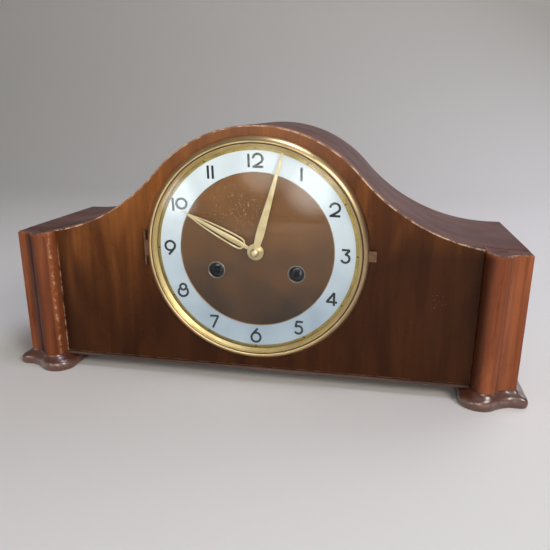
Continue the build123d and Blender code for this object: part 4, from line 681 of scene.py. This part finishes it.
def column_cap(hand):
    """Roof veneer over a column's top: the eased plan, in rings that follow the hat to its middle."""
    plan = soften(corner_plan(0.0), 2)
    rings, worn = [], []
    for depth, drop, rub in CAP_EDGE:
        ring = inset(plan, EDGE_R + depth)
        rings.append(np.column_stack([ring, hat(ring[:, 0]) - drop]))
        worn.append(np.full(len(plan), rub))
    middle = plan.mean(0)
    for share in (0.25, 0.5, 0.75, 1.0):
        ring = inset(plan, EDGE_R + CAP_FLAT) * (1 - share) + middle * share
        rings.append(np.column_stack([ring, hat(ring[:, 0])]))
        worn.append(np.zeros(len(plan)))
    rings.append(np.column_stack([np.broadcast_to(middle, plan.shape), rings[0][:, 2]]))
    worn.append(np.zeros(len(plan)))
    grid = np.stack(rings[-1:] + rings[:-1]) * [hand, 1, 1]
    return grid, False, True, np.stack(worn[-1:] + worn[:-1])


def foot(hand):
    """Moulded foot: at each height the plan flares by its own share, upright at the lip and hollow above."""
    up = np.linspace(0, 1, 48)
    share = smoothed(np.interp(up, FOOT_UP, FOOT_FLARE), 4)
    floor = -PANEL_DROP - FOOT_H
    rings, worn = [], []
    for height, flare in zip(up, share):
        plan = soften(corner_plan(flare), 10)
        rings.append(np.column_stack([plan, np.full(len(plan), floor + FOOT_H * height)]))
        # Pale round the lip: rubbing, and also a painted highlight
        worn.append(np.full(len(plan), LIP_RUB_AND_SHEEN * math.exp(-((height - LIP_RUB_AND_SHEEN_UP) / LIP_RUB_AND_SHEEN_W) ** 2)))
    grid = fan_ends(np.stack(rings)) * [hand, 1, 1]
    return grid, False, True, np.stack([0 * worn[0]] + worn + [0 * worn[0]])


def bezel():
    """Spun moulding: a flank that rounds up to a low crest, a groove inside it and a narrow lip."""
    flank = arc_through((BEZEL_R, -BEZEL_GAP), (SHOULDER_R, SHOULDER_Y), (BEZEL_CREST_R, -BEZEL_CREST), 16)
    bead = arc_through((BEZEL_CREST_R, -BEZEL_CREST), (BEAD_R, BEAD_Y),
                       (GROOVE_R + 2 * GROOVE_HALF, BEAD_FOOT), 7)
    groove = [(GROOVE_R + GROOVE_HALF, GROOVE_Y), (GROOVE_R - GROOVE_HALF, GROOVE_Y)]
    lip_top, lip_edge = LIP_FRONT - EASE, LIP_FRONT + EASE
    lip = arc_through((GROOVE_R - 2 * GROOVE_HALF, lip_edge), (BEZEL_LIP + 3 * EASE, lip_top),
                      (BEZEL_LIP, lip_edge), 6)
    inside = [(BEZEL_LIP, LIP_BACK), (BEZEL_SEAT, LIP_BACK), (BEZEL_SEAT, -BEZEL_GAP)]
    return lathe(np.concatenate([flank, bead[1:], groove, lip, inside]), count=256)


def sight_ring():
    """Sloped ring behind the glass: a thin sheet's section, wide at the glass and drawn in to the dial."""
    back = GLASS_EDGE_Y + GLASS_T
    return lathe([(SIGHT_OUT - SIGHT_W, back), (SIGHT_OUT, back), (SIGHT_OUT, back + SIGHT_EDGE),
                  (SIGHT_IN + SIGHT_W, -SIGHT_CLEAR), (SIGHT_IN, -SIGHT_CLEAR)], count=256)


def glass():
    """Dome of even thickness: two arcs of one radius, one behind the other, joined at the edge."""
    r = np.linspace(0, GLASS_EDGE, 24)
    bow = GLASS_R - np.sqrt(GLASS_R ** 2 - r ** 2) + GLASS_EDGE_Y - GLASS_SAG
    front, back = np.stack([r, bow], -1), np.stack([r, bow + GLASS_T], -1)
    return lathe(np.concatenate([front, back[::-1]]), closed=False, count=160)


def chapter_ring():
    """Shallow cone of sheet metal between the dial's floor and its rim, with eased edges."""
    return lathe([(RING_IN, DIAL_FACE + RING_T), (RING_IN, DIAL_FACE + RING_EASE_IN),
                  (RING_IN + RING_EASE_IN, DIAL_FACE - RING_CREST), (RING_OUT - RING_EASE_OUT, RING_FACE_OUT),
                  (RING_OUT, RING_FACE_OUT + RING_DROP), (RING_OUT, DIAL_RIM)], count=256)


def ring_height(xz):
    """Depth of the chapter ring's face under a point, by its distance from the dial's centre."""
    share = (np.linalg.norm(xz, axis=-1) - RING_IN) / (RING_OUT - RING_IN)
    return DIAL_FACE + (RING_FACE_OUT - DIAL_FACE) * np.clip(share, 0, 1)


def stroke(path, at):
    """One printed line of a figure: a flat strip of even width along a path, lying on the ring's cone."""
    path = np.asarray(path, float)
    across = beside(path) * STROKE_W / 2
    corners = []
    for side, lift in ((-1, PRINT_T), (1, PRINT_T), (1, -PRINT_T), (-1, -PRINT_T)):
        place = path + side * across + np.array(at)
        corners.append(spread(place, ring_height(place) - lift))
    return fan_ends(np.stack(corners, 1)), False, True


def loop(path, at):
    """A printed line that closes on itself."""
    grid = stroke(path, at)[0][1:-1]
    return grid[:-1], True, True


def straight(a, b):
    """A straight run of a figure, with points close enough to follow the ring's cone."""
    return np.linspace(a, b, 8)


def figure_strokes(figure):
    """The lines of a figure about its middle, 11 mm tall, drawn with circles and straight lines."""
    circle = arc((0, 0), 3.9, 0, 360, 49)
    open_lines = {
        "0": [],
        "1": [straight((0, 5.2), (0, -5.2))],
        "2": [np.concatenate([arc((0, 1.5), 3.7, 178, -35, 34), straight((2.8, -0.95), (-3.2, -4.75))[1:]]),
              straight((-4.2, -4.7), (4.2, -4.7))],
        "3": [straight((-3.3, 4.9), (3.2, 4.9)), straight((3.0, 4.8), (-0.6, 1.0)),
              arc((-0.4, -1.9), 3.3, 96, -160, 34)],
        "4": [straight((1.9, 5.5), (-4.3, -2.6)), straight((-4.5, -2.4), (4.3, -2.4)),
              straight((1.7, 5.3), (1.7, -5.3))],
        "5": [straight((-1.9, 4.9), (3.3, 4.9)), straight((-1.8, 5.4), (-2.7, 0.1)),
              arc((-0.3, -1.9), 3.2, 142, -150, 34)],
        "6": [straight((-3.0, 0.8), (1.3, 5.9))],
        "7": [straight((-3.7, 4.9), (3.6, 4.9)), straight((3.3, 5.0), (-1.2, -5.4))],
        "8": [arc((0, -1.5), 3.9, 128, 412, 46)],
        "9": [straight((3.0, -0.8), (-1.3, -5.9))],
    }
    loops = {
        "0": [circle * [1.05, 1.03] + [0, 0.8]],
        "6": [circle + [0, -1.7]],
        "8": [arc((0, 2.7), 2.5, 0, 360, 41)],
        "9": [circle + [0, 1.7]],
    }
    return open_lines[figure], loops.get(figure, [])


def hour_figures():
    """All the figures' strips, each figure upright at its hour's angle on one circle."""
    grids = []
    for hour in range(1, 13):
        turn = math.radians(30 * hour)
        x, z = FIGURE_AT * math.sin(turn), FIGURE_AT * math.cos(turn)
        for digit, shift in zip(str(hour), DOUBLE_PLACES.get(hour, (0.0,))):
            lines, loops = figure_strokes(digit)
            grids += [stroke(line, (x + shift, z)) for line in lines]
            grids += [loop(line, (x + shift, z)) for line in loops]
    return grids


def minute_marks():
    """Round dots on the dial's gold band, low domes, large at the hours and small at the minutes."""
    grids = []
    for minute in range(60):
        turn = math.radians(6 * minute)
        radius = TICK_R if minute % 5 else DOT_R
        at = (DOT_AT * math.sin(turn), DOT_AT * math.cos(turn))
        face = DIAL_RIM - PRINT_T
        profile = [(0, face), (radius * 0.9, face), (radius, DIAL_RIM), (0, DIAL_RIM)]
        grids.append(lathe(profile, closed=False, at=at, count=14))
    return grids


def gold_line():
    """Thin round bead, half sunk, where the chapter ring meets the dial's centre."""
    return lathe(arc((RING_IN, DIAL_FACE), LINE_R, 0, 360, 13)[:-1], count=256)


def grommet(x):
    """Pressed eyelet: a half-round rim on the dial with a short barrel through it."""
    middle = (GROMMET_IN + GROMMET_OUT) / 2
    rim = arc((middle, DIAL_FACE), GROMMET_T, 0, -180, 12)
    outside = GROMMET_IN + EYELET_WALL
    barrel = [(GROMMET_IN, DIAL_BACK), (outside, DIAL_BACK), (outside, DIAL_FACE)]
    return lathe(np.concatenate([rim, barrel]), at=(x, -WIND_DROP), count=64)


def winding_well(x):
    """Tube behind an eyelet, open in front, with a floor that the arbor comes through; its near-black is
    painted shade in the hole.
    """
    wall, hole, floor = GROMMET_IN + WELL_GAP, ARBOR_R + ARBOR_GAP, WELL_BACK - WELL_T
    section = [(wall, DIAL_BACK), (wall, floor), (hole, floor), (hole, WELL_BACK),
               (wall + WELL_T, WELL_BACK), (wall + WELL_T, DIAL_BACK)]
    return lathe(section, at=(x, -WIND_DROP), count=48)


def arbor_tip(x):
    """Domed end of a winding square: rings that draw in by a cosine while they go from square to round."""
    corners = evenly([(1, 1), (-1, 1), (-1, -1), (1, -1)], 32, closed=True)
    circle = corners / np.linalg.norm(corners, axis=1, keepdims=True)
    rings = [spread(corners * SQUARE_HALF + [x, -WIND_DROP], DIAL_FACE + TIP_FOOT)]
    for turn in np.radians([0, 20, 40, 60, 75, 85]):
        ring = corners + (circle - corners) * math.sin(turn)
        rings.append(spread(ring * SQUARE_HALF * math.cos(turn) + [x, -WIND_DROP],
                            DIAL_FACE + TIP_FACE - DOME_H * math.sin(turn)))
    return fan_ends(np.stack(rings)), False, True


def turned(local, angle, y):
    """A hand drawn upright turned clockwise to its place; local holds across, along and height forward."""
    a = math.radians(angle)
    x = local[..., 0] * math.cos(a) + local[..., 1] * math.sin(a)
    z = -local[..., 0] * math.sin(a) + local[..., 1] * math.cos(a)
    return np.stack([x, y + HAND_T - local[..., 2], z], -1)


def blade(along, half, angle, y):
    """Tapered bar with a raised middle line: at each step its section is a flat triangle with thin sides."""
    steps = np.linspace(along[0], along[-1], 90)
    wide = smoothed(np.interp(steps, along, half), 6)
    zero = np.zeros_like(steps)
    edge = zero + HAND_T * HAND_EDGE
    top = HAND_T * (HAND_EDGE + RIDGE * np.clip(wide / wide.max(), 0, 1))
    section = [(-wide, zero), (-wide, edge), (zero, top), (wide, edge), (wide, zero)]
    rows = np.stack([np.stack([x, steps, z], -1) for x, z in section], 1)
    return turned(fan_ends(rows), angle, y), False, True


def wire(side, angle, y):
    """Side wire of the hour hand: a rounded bar that leaves the spear, bows out and joins it near the point.

    Its middle line is a smooth curve through a few points, given by their distance along and across.
    """
    fine = smoothed(evenly(np.stack([WIRE_OUT * side, WIRE_AT], -1), 80), 4)
    bow = beside(fine) * np.interp(fine[:, 1], WIRE_R_AT, WIRE_R)[:, None]
    rows = []
    for turn in np.radians(np.arange(0, 360, 45)):
        place = fine + bow * math.cos(turn)
        rows.append(np.column_stack([place, HAND_T * (0.5 + 0.45 * np.full(len(fine), math.sin(turn)))]))
    return turned(fan_ends(np.stack(rows, 1)), angle, y), False, True


def hour_hand():
    """Spear with a ridge, a wire each side of it, and a round boss with an eased edge."""
    spear = blade(SPEAR_AT, SPEAR_HALF, HOUR_AT, HOUR_Y)
    boss = lathe([(HOUR_BORE_R, HOUR_Y + BOSS_T), (HOUR_BORE_R, HOUR_Y), (HOUR_BOSS_R - 0.5, HOUR_Y),
                  (HOUR_BOSS_R - 0.15, HOUR_Y + 0.15), (HOUR_BOSS_R, HOUR_Y + 0.5),
                  (HOUR_BOSS_R, HOUR_Y + BOSS_T)], count=96)
    return [spear, wire(1, HOUR_AT, HOUR_Y), wire(-1, HOUR_AT, HOUR_Y), boss]


def minute_hand():
    """Lance with a ridge, widest near its boss."""
    lance = blade(LANCE_AT, LANCE_HALF, MINUTE_AT, MINUTE_Y)
    boss = lathe([(MINUTE_BORE_R, MINUTE_Y + HAND_T), (MINUTE_BORE_R, MINUTE_Y),
                  (MINUTE_BOSS_R - 0.4, MINUTE_Y), (MINUTE_BOSS_R, MINUTE_Y + 0.3),
                  (MINUTE_BOSS_R, MINUTE_Y + HAND_T)], count=96)
    return [lance, boss]


def hand_nut():
    """Turned nut: a collar with a round edge, a waist, a dome, and a shallow dimple at its middle."""
    collar = arc((NUT_R - COLLAR_R, MINUTE_Y - COLLAR_R), COLLAR_R, 90, -80, 8)
    dome = arc_through((NUT_R - DOME_IN, MINUTE_Y - DOME_UP),
                       (NUT_R * DOME_BULGE_IN, MINUTE_Y - DOME_BULGE_UP), (1.5, NUT_Y + 0.1), 16)
    dimple = arc_through((1.1, NUT_Y), (0.6, NUT_Y + 0.2), (0.0, NUT_Y + 0.3), 6)
    return lathe(np.concatenate([[(0.0, MINUTE_Y)], collar, dome, dimple]), closed=False, count=72)


make_piece("panel_face", [front_panel()], panel_walnut, "case", ["front_panel"])
make_piece("roof_veneer", [roof()], roof_walnut, "case", ["roof_panel"])
for hand, side in ((1, "right"), (-1, "left")):
    make_piece(side + "_column_moulding", [column(hand)], column_beech, "case",
               [side + "_column"])
    make_piece(side + "_column_cap", [column_cap(hand)], roof_walnut, "case")
    make_piece(side + "_foot_moulding", [foot(hand)], foot_beech, "case",
               [side + "_front_foot"], sharp=50)
make_piece("bezel_moulding", [bezel()], bezel_brass, "bezel", ["bezel_ring"])
make_piece("sight_ring", [sight_ring()], sight_brass, "bezel", ["glass_retainer"])
make_piece("bezel_dome", [glass()], clock_glass, "bezel", ["bezel_glass"])
make_piece("hour_ring", [chapter_ring()], ring_white, "case", ["chapter_ring"])
make_piece("hour_figures", hour_figures(), dial_ink, "case")
make_piece("minute_marks", minute_marks(), dial_ink, "case")
make_piece("ring_bead", [gold_line()], bead_brass, "case")
make_piece("winding_eyelets", [grommet(WIND_X), grommet(-WIND_X)], eyelet_nickel, "case",
           ["winding_grommets"])
make_piece("winding_wells", [winding_well(WIND_X), winding_well(-WIND_X)], shade_black_steel, "case")
make_piece("going_arbor_tip", [arbor_tip(WIND_X)], blued_steel, "going_winding")
make_piece("strike_arbor_tip", [arbor_tip(-WIND_X)], blued_steel, "strike_winding")
make_piece("hour_spear", hour_hand(), hand_brass, "hour_hand", ["hour_hand"])
make_piece("minute_lance", minute_hand(), hand_brass, "minute_hand", ["minute_hand"])
make_piece("hand_button", [hand_nut()], hand_brass, "minute_hand", ["hand_nut"])

# Finishes of the solids that are shown as they were made
finishes = {
    end_walnut: ["end_panels"],
    board_wood: ["back_panel", "back_door", "rear_feet"],
    base_wood: ["base_board"],
    hinge_brass: ["door_knob", "door_hinge_leaves", "door_hinge_bases"],
    shaded_fitting_brass: ["bezel_catch", "bezel_hinge_leaf", "bezel_hinge_base"],
    dial_brass: ["dial_plate"],
    centre_bronze: ["centre_disc"],
    drawn_steel: ["movement_screws", "suspension_spring", "going_mainspring", "strike_mainspring",
                  "going_ratchet", "strike_ratchet", "going_click", "strike_click", "cannon_pinion",
                  "pallet_anchor"],
    blued_steel: ["going_winding_arbor", "strike_winding_arbor"],
    gong_iron: ["gong"],
}
movement = [name for name in nodes if not any(name in group for group in finishes.values())]
finishes[movement_brass] = movement
for material, names in finishes.items():
    for name in names:
        nodes[name].material_slots[0].material = material


# Studio, in metres: a pale floor that curves up into a wall behind, and soft lamps
FLOOR_FRONT, FLOOR_HALF, BEND_AT, BEND_R, WALL_TOP = -2.5, 3.5, 1.0, 0.9, 3.0


def backdrop():
    """Floor and wall in one sheet: a flat run, a quarter circle and an upright, carried from side to side."""
    bend = arc((BEND_AT, BEND_R), BEND_R, -90, 0, 24)
    curve = np.concatenate([[(FLOOR_FRONT, 0.0)], bend, [(BEND_AT + BEND_R, WALL_TOP)]])
    columns = len(curve)
    sheet = np.concatenate([np.column_stack([np.full(columns, x), curve]) for x in (-FLOOR_HALF, FLOOR_HALF)])
    c = np.arange(columns - 1)
    mesh = bpy.data.meshes.new("studio_floor")
    mesh.from_pydata(sheet.tolist(), [], np.stack([c, columns + c, columns + c + 1, c + 1], -1).tolist())
    mesh.shade_smooth()
    mesh.materials.append(start_material("paper_matt_pale", Base_Color=colour("#e9e6e1"), Roughness=0.9)[0])
    floor = bpy.data.objects.new("studio_floor", mesh)
    bpy.context.scene.collection.objects.link(floor)


def lamp(name, place, aim, size, watts, tint):
    """Square soft lamp at a place, facing a point, brightest at its middle and fading to its edge."""
    light = bpy.data.lights.new(name, "AREA")
    light.size, light.energy, light.color = size, watts, colour(tint)[:3]
    light.use_nodes = True
    tree = light.node_tree
    across = add(tree, "NewGeometry").outputs["Parametric"]
    fade = span(tree, apart(tree, across, (0.5, 0.5, 0.0)), 0.52, 0.15, 1.9, smooth=True)
    tree.links.new(fade, tree.nodes["Emission"].inputs["Strength"])
    made = bpy.data.objects.new(name, light)
    away = np.array(place, float) - np.array(aim, float)
    back = away / np.linalg.norm(away)
    right = np.cross([0, 0, 1], back)
    right /= np.linalg.norm(right)
    turn = np.stack([right, np.cross(back, right), back], 1)
    made.matrix_world = Matrix.Translation(place) @ Matrix(turn.tolist()).to_4x4()
    bpy.context.scene.collection.objects.link(made)


backdrop()
lamp("key_lamp", (1.05, -1.10, 0.95), (0.0, 0.0, 0.1), 0.9, 18.0, "#fffaf2")
lamp("front_lamp", (0.16, -1.62, 0.32), (0.0, 0.0, 0.1), 0.6, 5.0, "#ffffff")
lamp("window_lamp", (-0.26, -1.62, 0.46), (0.0, 0.0, 0.12), 0.55, 2.8, "#fff8ee")
lamp("side_lamp", (-0.80, -1.15, 0.16), (0.0, 0.0, 0.1), 0.36, 1.9, "#f4f7ff")
lamp("top_lamp", (0.25, -0.15, 1.25), (0.1, 0.0, 0.1), 0.5, 5.0, "#e4e8ff")
lamp("rim_lamp", (1.0, 0.85, 1.05), (0.15, 0.0, 0.0), 1.5, 12.0, "#e9ecff")
world = bpy.data.worlds.new("studio_light")
world.use_nodes = True
world.node_tree.nodes["Background"].inputs[0].default_value = colour("#f2f2f2")
world.node_tree.nodes["Background"].inputs[1].default_value = 0.20
bpy.context.scene.world = world
bpy.context.scene.view_settings.view_transform = "Standard"

# Camera, solved from the photograph: place from the dial's centre in millimetres, turns in radians
IMAGE_SIDE = 550
FOCAL_PIXELS = 556.62
CAMERA_AT = (94.37, -421.94, 108.79)
YAW, PITCH, ROLL = 0.1834, 0.2874, 0.0049
level = np.array([-math.sin(YAW), math.cos(YAW), 0.0])
forward = level * math.cos(PITCH) - np.array([0, 0, math.sin(PITCH)])
up = level * math.sin(PITCH) + np.array([0, 0, math.cos(PITCH)])
right = np.array([math.cos(YAW), math.sin(YAW), 0.0])
right, up = right * math.cos(ROLL) + up * math.sin(ROLL), up * math.cos(ROLL) - right * math.sin(ROLL)
lens = bpy.data.cameras.new("photo_camera")
lens.sensor_width = 36.0
lens.lens = lens.sensor_width * FOCAL_PIXELS / IMAGE_SIDE
lens.clip_start = 0.01
camera = bpy.data.objects.new("photo_camera", lens)
camera.matrix_world = (Matrix.Translation((np.array(CAMERA_AT) * MM + ORIGIN).tolist())
                       @ Matrix(np.stack([right, up, -forward], 1).tolist()).to_4x4())
bpy.context.scene.collection.objects.link(camera)
bpy.context.scene.camera = camera
